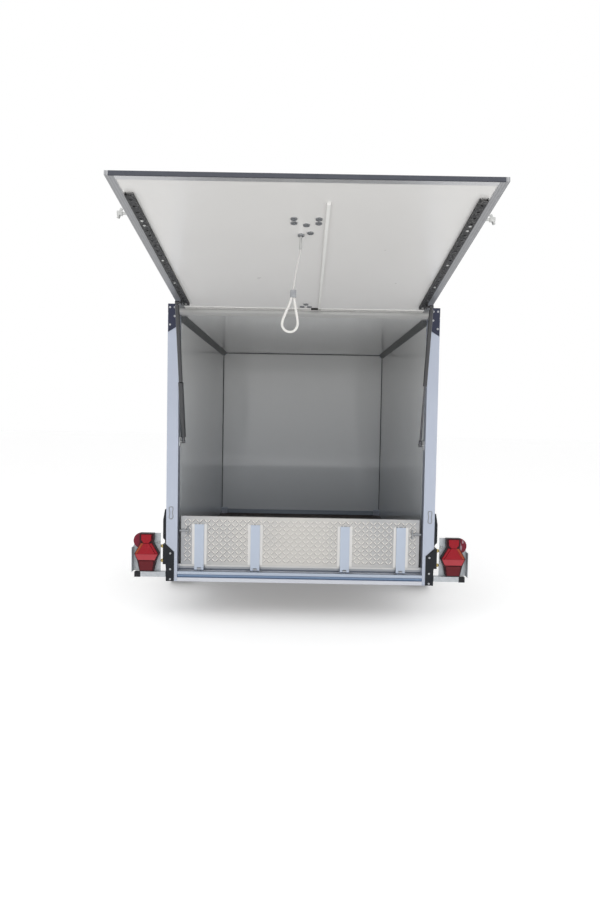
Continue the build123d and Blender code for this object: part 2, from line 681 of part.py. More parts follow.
# Perforated steel channels screwed to the tailgate's inner face; their outer webs carry the strut studs
def tailgate_rails():
    seat = PIVOT_Y + GATE_PANEL / 2
    z = (PIVOT_HEIGHT - RAIL_END, PIVOT_HEIGHT - RAIL_START)
    x = (RAIL_INNER_X, RAIL_OUTER_X)
    face_y = GATE_IN_Y + RAIL_DEPTH
    channel = block(x, (seat, face_y), z)
    channel -= block((x[0] + RAIL_SHEET, x[1] - RAIL_SHEET), (seat, face_y - RAIL_SHEET), z)
    holes = int((RAIL_END - RAIL_START) / RAIL_PITCH)
    for index in range(holes):
        height = z[1] - RAIL_PITCH * (index + 0.5)
        centre_x = sum(x) / 2
        channel -= bar((centre_x, face_y - 2 * RAIL_SHEET, height), (centre_x, face_y + 1, height), RAIL_HOLE)
    stud_y = PIVOT_Y + STRUT_OFFSET
    stud_z = PIVOT_HEIGHT - STRUT_ALONG
    tab_y = (face_y - RAIL_SHEET, stud_y + STUD_RADIUS + RAIL_SHEET)
    channel += block((x[1] - RAIL_SHEET, x[1]), tab_y, (stud_z - STUD_TAB, stud_z + STUD_TAB))
    stud_end = STRUT_X + STUD_REACH - PIN_CLEARANCE
    channel += bar((x[1] - RAIL_SHEET, stud_y, stud_z), (stud_end, stud_y, stud_z), STUD_RADIUS)
    write("tailgate_rails", *[swing_up(one) for one in pair(channel)])


# Knobs on the side edges, bolt cups, eyelet and the cable duct on the inner face
def tailgate_fittings():
    height = PIVOT_HEIGHT - KNOB_ALONG
    head = GATE_HALF_WIDTH + KNOB_REACH
    knob = bar((GATE_HALF_WIDTH, PIVOT_Y, height), (head, PIVOT_Y, height), KNOB_STEM)
    knob += bar((head - KNOB_BOSS, PIVOT_Y, height), (head + KNOB_BOSS, PIVOT_Y, height), KNOB_BOSS)
    low_tip = (head - KNOB_BAR, PIVOT_Y - KNOB_HALF, height)
    high_tip = (head + KNOB_BAR, PIVOT_Y + KNOB_HALF, height)
    knob += bar(low_tip, high_tip, KNOB_BAR)
    write("latch_knobs", *[swing_up(one) for one in pair(knob)])
    face = PIVOT_Y + GATE_PANEL / 2
    # Columns: X, distance from the free edge
    far_cups = [(-42, 293), (-42, 327), (45, 293), (45, 327), (2, 343), (17, 412)]
    # Columns: X, distance from the hinge line
    near_cups = [(-10, 50), (25, 50), (8, 88)]
    cup_places = [(x, GATE_LENGTH - free) for x, free in far_cups] + near_cups
    cups = []
    for x, along in cup_places:
        z = PIVOT_HEIGHT - along
        cup = bar((x, face, z), (x, face + CUP_HEIGHT, z), CUP_RADIUS)
        cup -= bar((x, face + CUP_HEIGHT / 3, z), (x, face + 2 * CUP_HEIGHT, z), CUP_RADIUS - CUP_RIM)
        cups.append(swing_up(cup))
    write("bolt_cups", *cups)
    duct_z = (PIVOT_HEIGHT - DUCT_END, PIVOT_HEIGHT - DUCT_START)
    duct_x = (DUCT_X - DUCT_WIDTH / 2, DUCT_X + DUCT_WIDTH / 2)
    write("cable_duct", swing_up(block(duct_x, (face, face + DUCT_HEIGHT), duct_z)))


# Gas struts: each cylinder hangs on its stud, and its rod runs down to a ball eye beside the post
def strut_ends():
    top = opened(PIVOT_Y + STRUT_OFFSET, PIVOT_HEIGHT - STRUT_ALONG)
    foot = (STRUT_FOOT_Y, STRUT_FOOT_HEIGHT)
    return top, foot


def struts():
    top, foot = strut_ends()
    span = hypot(foot[0] - top[0], foot[1] - top[1])
    way = ((foot[0] - top[0]) / span, (foot[1] - top[1]) / span)

    def at(distance, x=STRUT_X):
        return (x, top[0] + way[0] * distance, top[1] + way[1] * distance)

    eye_x = (STRUT_X - STRUT_EYE_WIDTH / 2, STRUT_X + STRUT_EYE_WIDTH / 2)
    cylinder = bar(at(0, eye_x[0]), at(0, eye_x[1]), STRUT_EYE)
    cylinder += bar(at(0), at(STRUT_NECK_LENGTH), STRUT_NECK)
    cylinder += bar(at(STRUT_NECK_LENGTH), at(STRUT_CYLINDER_LENGTH), STRUT_CYLINDER)
    cylinder -= bar(at(0, eye_x[0]), at(0, STRUT_X + STUD_REACH), STUD_RADIUS + PIN_CLEARANCE)
    bore_end = STRUT_CYLINDER_LENGTH - STRUT_BORE_DEPTH
    cylinder -= bar(at(bore_end), at(STRUT_CYLINDER_LENGTH), STRUT_ROD + ROD_CLEARANCE)
    rod = bar(at(STRUT_CYLINDER_LENGTH - ROD_OVERLAP), at(span), STRUT_ROD)
    rod += bar(at(span, eye_x[0]), at(span, eye_x[1]), STRUT_EYE)
    ferrule = span - ROD_FERRULE_LENGTH
    rod += bar(at(ferrule), at(span), ROD_FERRULE)
    sleeve_start = STRUT_CYLINDER_LENGTH + SLEEVE_GAP
    sleeve = bar(at(sleeve_start), at(ferrule), SLEEVE_OUTER)
    sleeve -= bar(at(sleeve_start), at(ferrule - SLEEVE_CAP), SLEEVE_INNER)
    sleeve -= bar(at(sleeve_start), at(ferrule), STRUT_ROD + SLEEVE_FIT)
    write("strut_cylinder_right", cylinder)
    write("strut_cylinder_left", mirror(cylinder, about=Plane.YZ))
    write("strut_rod_right", rod)
    write("strut_rod_left", mirror(rod, about=Plane.YZ))
    write("strut_sleeve_left", mirror(sleeve, about=Plane.YZ))
    stud_x = eye_x[1] + PIN_CLEARANCE
    base = block(
        (POST_INNER - 4, POST_INNER),
        (STRUT_FOOT_Y - 14, STRUT_FOOT_Y + 14),
        (STRUT_FOOT_HEIGHT - 22, STRUT_FOOT_HEIGHT + 22),
    )
    base += bar((stud_x, *foot), (POST_INNER, *foot), STUD_RADIUS)
    write("strut_studs", *pair(base))


# Drop flap: a folded chequer plate, hat-section straps ending in hinge knuckles, and two spring bolts
def flap():
    face_y = (FLAP_FACE_Y, FLAP_FACE_Y + FLAP_SHEET)
    tray_y = (FLAP_FACE_Y, FLAP_FACE_Y + FLAP_FOLD)
    tray = block((-FLAP_HALF_WIDTH, FLAP_HALF_WIDTH), tray_y, (FLAP_BOTTOM, FLAP_TOP))
    hollow_x = FLAP_HALF_WIDTH - FLAP_SHEET
    tray -= block(
        (-hollow_x, hollow_x),
        (face_y[1], FLAP_FACE_Y + FLAP_FOLD),
        (FLAP_BOTTOM + FLAP_SHEET, FLAP_TOP - FLAP_SHEET),
    )
    write("flap_plate", tray)
    web_y = FLAP_FACE_Y - STRAP_RISE
    half_web, half_foot = STRAP_WEB / 2, STRAP_FOOT / 2
    hat = outline([
        (-half_foot, FLAP_FACE_Y),
        (-half_foot, FLAP_FACE_Y - STRAP_SHEET),
        (-half_web, FLAP_FACE_Y - STRAP_SHEET),
        (-half_web, web_y),
        (half_web, web_y),
        (half_web, FLAP_FACE_Y - STRAP_SHEET),
        (half_foot, FLAP_FACE_Y - STRAP_SHEET),
        (half_foot, FLAP_FACE_Y),
        (half_web - STRAP_SHEET, FLAP_FACE_Y),
        (half_web - STRAP_SHEET, web_y + STRAP_SHEET),
        (STRAP_SHEET - half_web, web_y + STRAP_SHEET),
        (STRAP_SHEET - half_web, FLAP_FACE_Y),
    ])
    strap = along_z(hat, (FLAP_BOTTOM + 2, FLAP_TOP - STRAP_DROP))
    strap += block((-half_web, half_web), (web_y, web_y + STRAP_SHEET), (FLAP_AXIS_Z, FLAP_BOTTOM + 2))
    axle = (FLAP_AXIS_Y, FLAP_AXIS_Z)
    strap += bar((-half_web, *axle), (half_web, *axle), KNUCKLE)
    notch = LUG_WIDTH / 2 + 1
    notch_top = FLAP_AXIS_Z + KNUCKLE + 2
    notch_y = (web_y - KNUCKLE, FLAP_AXIS_Y + 2 * KNUCKLE)
    strap -= block((-notch, notch), notch_y, (FLAP_AXIS_Z - 2 * KNUCKLE, notch_top))
    strap -= bar((-half_web - 1, *axle), (half_web + 1, *axle), HINGE_ROD + PIN_CLEARANCE)
    straps = []
    for x in STRAP_X:
        straps += pair(Pos(x, 0, 0) * strap)
    write("flap_straps", *straps)
    bolt_y = FLAP_FACE_Y - BOLT_RADIUS - 3
    bolt_z = FLAP_TOP - BOLT_DROP
    root_x = BOLT_TIP_X - BOLT_LENGTH
    bolt = bar((root_x, bolt_y, bolt_z), (BOLT_TIP_X, bolt_y, bolt_z), BOLT_RADIUS)
    bolt += bar(
        (root_x, bolt_y, bolt_z - BOLT_HANDLE / 2), (root_x, bolt_y, bolt_z + BOLT_HANDLE / 2), 4
    )
    guide_x = (root_x + 12, FLAP_HALF_WIDTH - 6)
    guide = block(guide_x, (bolt_y - 1, FLAP_FACE_Y), (bolt_z - 9, bolt_z + 9))
    write("flap_bolts", *pair(bolt + guide))


# Pull rope: hangs from an eyelet on the open tailgate, is crimped, and ends in a hand loop
ROPE_RADIUS = 4.0
ROPE_Y = -930.0
EYELET_HEIGHT = 6.0
EYELET_GAP = 1.2
# Columns: X, drop below the eyelet
ROPE_POINTS = [
    (-17, 0), (-17.3, 48.5), (-29.6, 105.9), (-37.8, 157.1), (-42.9, 196.1), (-51.1, 235), (-65.5, 269.8),
    (-79.8, 302.6), (-81.9, 327.2), (-65.5, 345.7), (-40.9, 346.7), (-24.5, 329.3), (-23.5, 302.6),
    (-31.7, 265.7), (-38.8, 220.7),
]
CRIMP_X = -42.0
CRIMP_DROP = (194.0, 220.7)


def rope():
    along = (PIVOT_Y - ROPE_Y) / cos(TILT)
    foot_y = PIVOT_Y + GATE_PANEL / 2
    top = opened(foot_y + EYELET_HEIGHT, PIVOT_HEIGHT - along)[1] - EYELET_GAP
    points = [Vector(x, ROPE_Y, top - drop) for x, drop in ROPE_POINTS]
    radii = []
    for before, here, after in zip(points, points[1:], points[2:]):
        turn = (here - before).get_angle(after - here)
        shorter = min((here - before).length, (after - here).length)
        radii.append(0.45 * shorter / sin(radians(turn / 2)) * cos(radians(turn / 2)))
    print("rope bend radii", [round(radius) for radius in radii])
    path = FilletPolyline(*points, radius=radii)
    section = Plane(path @ 0, z_dir=path % 0) * Circle(ROPE_RADIUS)
    tube = sweep(section, path=path)
    print("rope length", round(path.length), "volume ratio", tube.volume / (section.area * path.length))
    write("pull_rope", tube)
    crimp = along_z(Pos(CRIMP_X, ROPE_Y) * SlotOverall(22, 13), (top - CRIMP_DROP[1], top - CRIMP_DROP[0]))
    write("rope_crimp", crimp)
    # The eyelet stands on the inner face where the rope leaves it
    eyelet_x = ROPE_POINTS[0][0]
    base = (eyelet_x, foot_y, PIVOT_HEIGHT - along)
    eyelet = bar(base, (eyelet_x, foot_y + EYELET_HEIGHT, PIVOT_HEIGHT - along), CUP_RADIUS)
    write("rope_eyelet", swing_up(eyelet))


# Cable gland at the hinge edge, where the duct ends
def cable_gland():
    y = PIVOT_Y + GATE_PANEL / 2 + GLAND_RADIUS
    z = PIVOT_HEIGHT - DUCT_START + GLAND_RADIUS
    gland = bar((DUCT_X + DUCT_WIDTH / 2, y, z), (DUCT_X - GLAND_REACH, y, z), GLAND_RADIUS)
    write("cable_gland", swing_up(gland))


# Wheels, drawn about X and then set on their spindles
def wheels():
    half = TYRE_WIDTH / 2
    bead = half * 0.8
    crown = half * 0.74
    side_radius = (TYRE_RADIUS + RIM_RADIUS) / 2
    shoulder = TYRE_RADIUS - 9
    tyre_face = make_face([
        Line((-bead, RIM_RADIUS), (bead, RIM_RADIUS)),
        ThreePointArc((bead, RIM_RADIUS), (half, side_radius), (half * 0.93, shoulder - 10)),
        ThreePointArc((half * 0.93, shoulder - 10), (half * 0.88, shoulder), (crown, TYRE_RADIUS - 3)),
        ThreePointArc((crown, TYRE_RADIUS - 3), (0, TYRE_RADIUS), (-crown, TYRE_RADIUS - 3)),
        ThreePointArc((-crown, TYRE_RADIUS - 3), (-half * 0.88, shoulder), (-half * 0.93, shoulder - 10)),
        ThreePointArc((-half * 0.93, shoulder - 10), (-half, side_radius), (-bead, RIM_RADIUS)),
    ])
    tyre = revolve(tyre_face, axis=Axis.X)
    sheet = RIM_SHEET
    well = RIM_RADIUS - RIM_WELL
    disc = 26.0
    bore = SPINDLE_RADIUS + SPINDLE_CLEARANCE
    rim_face = outline([
        (-bead, RIM_RADIUS), (-bead, RIM_RADIUS - sheet), (-bead * 0.5, well - sheet), (disc - 8, well - sheet),
        (disc - 2, HUB_RADIUS + 24), (disc - 12, HUB_RADIUS), (-40, HUB_RADIUS), (-40, bore),
        (disc + 6, bore), (disc + 6, HUB_RADIUS * 0.66), (disc - 4, HUB_RADIUS * 0.72),
        (disc + 6, HUB_RADIUS + 26), (disc, well - sheet), (bead * 0.62, well - sheet), (bead, RIM_RADIUS - sheet),
        (bead, RIM_RADIUS), (bead * 0.6, well), (-bead * 0.46, well),
    ])
    rim = revolve(rim_face, axis=Axis.X)
    ring = (HUB_RADIUS + 24 + well) / 2
    for index in range(RIM_SLOTS):
        turn = Rot(360 / RIM_SLOTS * index, 0, 0)
        rim -= turn * bar((0, 0, ring), (disc + 30, 0, ring), RIM_SLOT)
    place = Pos(WHEEL_X, AXLE_Y, AXLE_Z)
    for side, name in ((1, "right"), (-1, "left")):
        for node, solid in (("tyre_", tyre), ("rim_", rim)):
            right = place * solid
            write(node + name, right if side > 0 else mirror(right, about=Plane.YZ))


# Axle: a square tube with a pad plate under the floor, and a trailing arm with a spindle at each end
def axle():
    arm_x = (ARM_X, ARM_X + ARM_THICKNESS)
    beam_z = (BEAM_BOTTOM, BEAM_TOP)
    half = BEAM_SIZE / 2
    beam = block((-arm_x[0], arm_x[0]), (BEAM_Y - half, BEAM_Y + half), beam_z)
    bore = half - BEAM_SHEET
    bore_z = (BEAM_BOTTOM + BEAM_SHEET, BEAM_TOP - BEAM_SHEET)
    beam -= block((-arm_x[0], arm_x[0]), (BEAM_Y - bore, BEAM_Y + bore), bore_z)
    pad_x = INNER_HALF - EDGE_LEG
    beam += block((-pad_x, pad_x), (BEAM_Y - BEAM_SIZE, BEAM_Y + BEAM_SIZE), (BEAM_TOP, FLOOR_BOTTOM))
    beam_mid = sum(beam_z) / 2
    run = Vector(0, AXLE_Y - BEAM_Y, AXLE_Z - beam_mid)
    web = Pos((AXLE_Y + BEAM_Y) / 2, (AXLE_Z + beam_mid) / 2) * Rot(0, 0, degrees(atan2(run.Z, run.Y))) * (
        SlotOverall(run.length + ARM_HEIGHT, ARM_HEIGHT)
    )
    arm = along_x(web, arm_x)
    tip = WHEEL_X + 26
    arm += bar((arm_x[0] + 2, AXLE_Y, AXLE_Z), (tip, AXLE_Y, AXLE_Z), SPINDLE_RADIUS)
    for one in pair(arm):
        beam += one
    write("axle", beam)


# Mudguards: rolled sheet over each wheel with a turned-in lip, and a flange against the side wall
def mudguards():
    inner = TYRE_RADIUS + MUDGUARD_GAP
    outer = inner + MUDGUARD_SHEET
    x = (WALL_OUT + BASE_SHELF, WHEEL_X + TYRE_WIDTH / 2 - MUDGUARD_INSET)
    centre = Pos(AXLE_Y, AXLE_Z)
    reach = 2 * outer
    rear, front = radians(MUDGUARD_REAR), radians(MUDGUARD_FRONT)
    sector = centre * outline([
        (0, 0),
        (-reach * sin(rear), reach * cos(rear)),
        (0, reach),
        (reach * sin(front), reach * cos(front)),
    ])
    shell = along_x(centre * (Circle(outer) - Circle(inner)) & sector, x)
    lip = centre * (Circle(inner) - Circle(inner - MUDGUARD_LIP)) & sector
    shell += along_x(lip, (x[1] - MUDGUARD_SHEET, x[1]))
    flange = centre * (Circle(outer) - Circle(outer - MUDGUARD_FLANGE)) & sector
    above_rail = outline([
        (AXLE_Y - reach, FLOOR_TOP + EDGE_LEG),
        (AXLE_Y + reach, FLOOR_TOP + EDGE_LEG),
        (AXLE_Y + reach, AXLE_Z + reach),
        (AXLE_Y - reach, AXLE_Z + reach),
    ])
    shell += along_x(flange & above_rail, (WALL_OUT, x[0] + MUDGUARD_SHEET))
    write("mudguards", *pair(shell))


# Drawbar: two box beams from the axle that meet under a nose tube, with a bearer plate under the box's front
def drawbar():
    z = (BEAM_TOP - DRAWBAR_BEAM, BEAM_TOP)
    start_y = BEAM_Y + BEAM_SIZE / 2
    half = DRAWBAR_BEAM / 2
    nose_half = NOSE_BEAM / 2
    slope = (NOSE_START - start_y) / (DRAWBAR_SPREAD - half - nose_half)
    outer = outline([
        (DRAWBAR_SPREAD - half, start_y),
        (DRAWBAR_SPREAD + half, start_y),
        (0, start_y + (DRAWBAR_SPREAD + half) * slope),
        (0, start_y + (DRAWBAR_SPREAD - half) * slope),
    ])
    inner = offset(outer, -DRAWBAR_SHEET)
    mouth = half - DRAWBAR_SHEET
    inner += outline([
        (DRAWBAR_SPREAD - mouth, start_y - 1),
        (DRAWBAR_SPREAD + mouth, start_y - 1),
        (DRAWBAR_SPREAD + mouth, start_y + 2 * DRAWBAR_SHEET),
        (DRAWBAR_SPREAD - mouth, start_y + 2 * DRAWBAR_SHEET),
    ])
    hollow_z = (z[0] + DRAWBAR_SHEET, z[1] - DRAWBAR_SHEET)
    beam = along_z(outer, z) - along_z(inner, hollow_z)
    nose_y = (NOSE_START, NOSE_END)
    nose = block((-nose_half, nose_half), nose_y, (BEAM_TOP, NOSE_TOP))
    hollow_x = nose_half - DRAWBAR_SHEET
    nose -= block((-hollow_x, hollow_x), nose_y, (BEAM_TOP + DRAWBAR_SHEET, NOSE_TOP - DRAWBAR_SHEET))
    bearer_x = INNER_HALF - EDGE_LEG
    bearer_y = (FRONT_OUT - EDGE_LEG - BEARER_DEPTH, FRONT_OUT - EDGE_LEG)
    bearer = block((-bearer_x, bearer_x), bearer_y, (BEAM_TOP, FLOOR_BOTTOM))
    write("drawbar", beam + mirror(beam, about=Plane.YZ) + nose + bearer)


# Ball coupling on the nose: a domed head over the ball, a sleeve bolted down behind it and a handle
def coupling():
    head_radius = BALL_RADIUS + COUPLING_WALL
    low = COUPLING_Z - SOCKET_DEPTH
    head = Pos(0, COUPLING_Y, COUPLING_Z) * Sphere(head_radius)
    head_y = (COUPLING_Y - head_radius, COUPLING_Y + head_radius)
    head &= block((-head_radius, head_radius), head_y, (COUPLING_Z, COUPLING_Z + 90))
    head += bar((0, COUPLING_Y, low), (0, COUPLING_Y, COUPLING_Z), head_radius)
    neck_top = NOSE_TOP + COUPLING_NECK
    neck = outline([
        (NOSE_END - COUPLING_GRIP, NOSE_TOP),
        (NOSE_END, NOSE_TOP),
        (COUPLING_Y - 20, low + 6),
        (COUPLING_Y, COUPLING_Z + 20),
        (COUPLING_Y - 60, COUPLING_Z + 26),
        (NOSE_END - 20, neck_top),
        (NOSE_END - 80, neck_top),
        (NOSE_END - COUPLING_GRIP, neck_top - 8),
    ])
    head += along_x(neck, (-NOSE_BEAM / 2, NOSE_BEAM / 2))
    head -= bar((0, COUPLING_Y, low - 1), (0, COUPLING_Y, COUPLING_Z), BALL_RADIUS)
    head -= Pos(0, COUPLING_Y, COUPLING_Z) * Sphere(BALL_RADIUS)
    write("coupling", head)
    handle = outline([
        (NOSE_END - 60, neck_top),
        (NOSE_END - 24, neck_top),
        (NOSE_END + 10, NOSE_TOP + 78),
        (COUPLING_Y - 10, NOSE_TOP + 92),
        (COUPLING_Y - 10, NOSE_TOP + 104),
        (NOSE_END - 6, NOSE_TOP + 92),
        (NOSE_END - 50, NOSE_TOP + 60),
    ])
    write("coupling_handle", along_x(handle, (-16, 16)))


# Jockey wheel: a clamped tube beside the nose, a sliding leg, a castor fork and a solid wheel
def jockey():
    axis_point = (JOCKEY_X, JOCKEY_Y)
    top = JOCKEY_TUBE_TOP
    tube = bar((*axis_point, JOCKEY_TUBE_BOTTOM), (*axis_point, top), JOCKEY_TUBE)
    tube -= bar((*axis_point, JOCKEY_TUBE_BOTTOM - 1), (*axis_point, top - 12), JOCKEY_LEG + ROD_CLEARANCE)
    bracket_x = (NOSE_BEAM / 2, NOSE_BEAM / 2 + 8)
    clamp_z = (JOCKEY_TUBE_BOTTOM + 12, JOCKEY_TUBE_BOTTOM + 64)
    clamp = block((bracket_x[1], JOCKEY_X + 34), (JOCKEY_Y - 32, JOCKEY_Y + 32), clamp_z)
    clamp -= bar((*axis_point, clamp_z[0] - 1), (*axis_point, clamp_z[1] + 1), JOCKEY_TUBE)
    clamp += block(bracket_x, (JOCKEY_Y - 60, JOCKEY_Y + 60), (BEAM_TOP + 8, clamp_z[1] + 6))
    write("jockey_tube", tube)
    write("jockey_clamp", clamp)
    crank = bar((*axis_point, top), (*axis_point, top + 22), 8)
    crank += bar((JOCKEY_X - 10, JOCKEY_Y, top + 16), (JOCKEY_X + CRANK_REACH + CRANK_ARM, JOCKEY_Y, top + 16), CRANK_ARM)
    grip_x = JOCKEY_X + CRANK_REACH
    crank += bar((grip_x, JOCKEY_Y, top + 16), (grip_x, JOCKEY_Y, top + 104), CRANK_GRIP)
    write("jockey_crank", crank)
    fork_top = JOCKEY_FORK_TOP
    leg = bar((*axis_point, fork_top), (*axis_point, top - 14 - JOCKEY_STROKE), JOCKEY_LEG)
    write("jockey_leg", leg)
    wheel_y = JOCKEY_Y - JOCKEY_TRAIL
    crown = block((JOCKEY_X - 42, JOCKEY_X + 42), (wheel_y - 16, JOCKEY_Y + 22), (fork_top - 8.3, fork_top - 0.3))
    for side in (-1, 1):
        x = JOCKEY_X + side * 39
        cheek = Pos(wheel_y, JOCKEY_AXLE_Z) * Circle(16) + outline([
            (wheel_y - 16, JOCKEY_AXLE_Z), (wheel_y + 16, JOCKEY_AXLE_Z),
            (JOCKEY_Y + 22, fork_top - 8.3), (wheel_y - 16, fork_top - 8.3),
        ])
        crown += along_x(cheek, (x - 3, x + 3))
    crown += bar((JOCKEY_X - 46, wheel_y, JOCKEY_AXLE_Z), (JOCKEY_X + 46, wheel_y, JOCKEY_AXLE_Z), 8)
    write("jockey_fork", crown)
    half = JOCKEY_WIDTH / 2
    tread = make_face([
        Line((-half, 8.3), (half, 8.3)),
        Line((half, 8.3), (half, JOCKEY_RADIUS - 16)),
        ThreePointArc((half, JOCKEY_RADIUS - 16), (0, JOCKEY_RADIUS), (-half, JOCKEY_RADIUS - 16)),
        Line((-half, JOCKEY_RADIUS - 16), (-half, 8.3)),
    ])
    write("jockey_wheel", Pos(JOCKEY_X, wheel_y, JOCKEY_AXLE_Z) * revolve(tread, axis=Axis.X))


os.makedirs("parts", exist_ok=True)
box_panels()
inner_strips()
edge_profiles()
portal()
sill()
hinge_plates()
corner_plates()
latches()
tail_lamps()
tailgate()
tailgate_rails()
tailgate_fittings()
cable_gland()
rope()
struts()
flap()
wheels()
axle()
mudguards()
drawbar()
coupling()
jockey()
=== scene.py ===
import math

import bmesh
import bpy
from mathutils import Matrix, Vector


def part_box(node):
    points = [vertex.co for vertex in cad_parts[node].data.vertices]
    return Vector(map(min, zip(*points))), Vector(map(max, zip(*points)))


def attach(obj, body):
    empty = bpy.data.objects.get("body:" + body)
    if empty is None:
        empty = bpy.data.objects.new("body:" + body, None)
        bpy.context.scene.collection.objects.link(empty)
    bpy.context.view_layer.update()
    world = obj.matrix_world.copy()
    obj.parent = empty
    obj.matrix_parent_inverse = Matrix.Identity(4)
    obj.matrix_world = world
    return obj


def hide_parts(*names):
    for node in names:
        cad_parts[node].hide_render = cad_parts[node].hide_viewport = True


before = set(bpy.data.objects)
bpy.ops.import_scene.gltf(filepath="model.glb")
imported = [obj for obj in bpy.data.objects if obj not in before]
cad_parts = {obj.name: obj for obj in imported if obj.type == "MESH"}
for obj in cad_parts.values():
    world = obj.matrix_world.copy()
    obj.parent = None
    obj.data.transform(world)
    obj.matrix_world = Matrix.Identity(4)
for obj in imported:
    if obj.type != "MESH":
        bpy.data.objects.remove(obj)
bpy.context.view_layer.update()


# Box: sandwich panels for the side walls, bulkhead and roof, with a glossy white gel coat. Inside
# the box the coat is painted grey as shade, darker and bluer towards the bottom. The panels are
# glued and riveted into aluminium profiles along every edge.
class Signal:
    """A node socket that can be used in sums, and that adds any other node to its tree."""

    def __init__(self, tree, socket=None):
        self.tree = tree
        self.socket = socket

    def node(self, kind, settings, links, output=None):
        made = self.tree.nodes.new(kind)
        for name, value in settings.items():
            setattr(made, name, value)
        for name, value in links.items():
            socket = next(s for s in made.inputs if name in (s.identifier, s.name))
            if isinstance(value, Signal):
                self.tree.links.new(value.socket, socket)
            else:
                socket.default_value = value
        chosen = made.outputs[0] if output is None else made.outputs[output]
        return Signal(self.tree, chosen)

    def sum(self, operation, first, second):
        return self.node("ShaderNodeMath", {"operation": operation}, {"Value": first, "Value_001": second})

    def __add__(self, other):
        return self.sum("ADD", self, other)

    def __radd__(self, other):
        return self.sum("ADD", other, self)

    def __sub__(self, other):
        return self.sum("SUBTRACT", self, other)

    def __rsub__(self, other):
        return self.sum("SUBTRACT", other, self)

    def __mul__(self, other):
        return self.sum("MULTIPLY", self, other)

    def __rmul__(self, other):
        return self.sum("MULTIPLY", other, self)

    def __lt__(self, other):
        return self.sum("LESS_THAN", self, other)

    def __gt__(self, other):
        return self.sum("GREATER_THAN", self, other)

    def __abs__(self):
        return self.node("ShaderNodeMath", {"operation": "ABSOLUTE"}, {"Value": self})

    def sine(self):
        return self.node("ShaderNodeMath", {"operation": "SINE"}, {"Value": self})

    def noise(self, scale, detail=3.0, stretch=(1, 1, 1)):
        """Values about 0.5 that vary over the surface, scale times a metre, drawn out by stretch."""
        place = self.node("ShaderNodeMapping", {}, {"Vector": self, "Scale": stretch})
        return self.node("ShaderNodeTexNoise", {}, {"Vector": place, "Scale": scale, "Detail": detail})

    def between(self, low, high):
        """A colour from low to high as this value goes from 0 to 1."""
        links = {"Factor_Float": self, "A_Color": (*low, 1), "B_Color": (*high, 1)}
        return self.node("ShaderNodeMix", {"data_type": "RGBA"}, links, 2)

    def tinted(self, mask, colour):
        """This colour where the mask is 0, the other where it is 1."""
        other = colour if isinstance(colour, Signal) else (*colour, 1)
        links = {"Factor_Float": mask, "A_Color": self, "B_Color": other}
        return self.node("ShaderNodeMix", {"data_type": "RGBA"}, links, 2)

    def axes(self):
        parts = self.node("ShaderNodeSeparateXYZ", {}, {"Vector": self})
        return [Signal(self.tree, socket) for socket in parts.socket.node.outputs]


class Finish:
    """One material: fixed sockets are set by name, and what varies is fed in."""

    def __init__(self, name, **fixed):
        self.material = bpy.data.materials.new(name)
        self.material.use_nodes = True
        self.shader = self.material.node_tree.nodes["Principled BSDF"]
        for socket, value in fixed.items():
            self.shader.inputs[socket.replace("_", " ")].default_value = value
        self.place = Signal(self.material.node_tree).node("ShaderNodeTexCoord", {}, {}, "Object")

    def feed(self, socket, signal):
        self.material.node_tree.links.new(signal.socket, self.shader.inputs[socket])

    def clouded(self, scale, detail, low, high):
        self.feed("Base Color", self.place.noise(scale, detail).between(low, high))

    def rubbed(self, base, scale, detail, spread):
        self.feed("Roughness", base + self.place.noise(scale, detail) * spread)

    def bump(self, height, strength, distance):
        links = {"Height": height, "Strength": strength, "Distance": distance}
        self.feed("Normal", height.node("ShaderNodeBump", {}, links))

    def dress(self, *nodes):
        for node in nodes:
            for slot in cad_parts[node].material_slots:
                slot.material = self.material


wall_low, wall_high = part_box("sidewall_right")
inner_x = (wall_low[0] + wall_high[0]) / 2
bulkhead_low, bulkhead_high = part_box("bulkhead")
inner_y = (bulkhead_low[1] + bulkhead_high[1]) / 2
roof_low, roof_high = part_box("roof")
inner_z = (roof_low[2] + roof_high[2]) / 2
gelcoat = Finish("gelcoat", Coat_Weight=0.35, Coat_Roughness=0.07)
x, y, z = gelcoat.place.axes()
inside = (abs(x) < inner_x) * (y < inner_y) * (z < inner_z)
mottle = gelcoat.place.noise(1.6, 2.0)
white_skin = mottle.between((0.76, 0.765, 0.76), (0.82, 0.82, 0.815))
height = (z - wall_low[2]) * (1 / (wall_high[2] - wall_low[2]))
# Painted shade: the inside of the white coat is grey, darker and bluer towards the bottom.
shaded_inner_skin = height.between((0.53, 0.56, 0.595), (0.73, 0.735, 0.73))
gelcoat.feed("Base Color", white_skin.tinted(inside, shaded_inner_skin))
gelcoat.feed("Roughness", 0.26 - inside * 0.16)
gelcoat.dress("sidewall_right", "sidewall_left", "bulkhead", "roof")


# Load floor: dark film-faced plywood with the print of a wire mesh pressed into its top for grip.
# It lies on the base rails and ends behind the sill.
mesh_pitch = 0.006
film = Finish("film_faced_ply", Specular_IOR_Level=0.35)
checks = {"Vector": film.place, "Scale": 1 / mesh_pitch, "Color1": (0, 0, 0, 1), "Color2": (1, 1, 1, 1)}
wires = film.place.node("ShaderNodeTexChecker", {}, checks, 1)
film.clouded(5, 4.0, (0.05, 0.036, 0.028), (0.085, 0.062, 0.05))
film.rubbed(0.42, 24, 3.0, 0.25)
film.bump(wires, 0.25, 0.0006)
film.dress("floor")


# Coves: slanted strips of dark grey extruded plastic that cover the joint between each wall and the
# roof. They are clipped on along the whole length of the box.
cove_trim = Finish("cove_trim", Specular_IOR_Level=0.4)
drawn = cove_trim.place.noise(7, 3.0, (1, 0.1, 1))
cove_trim.feed("Base Color", drawn.between((0.07, 0.076, 0.078), (0.1, 0.106, 0.108)))
cove_trim.rubbed(0.34, 60, 3.0, 0.16)
cove_trim.dress("roof_coves")


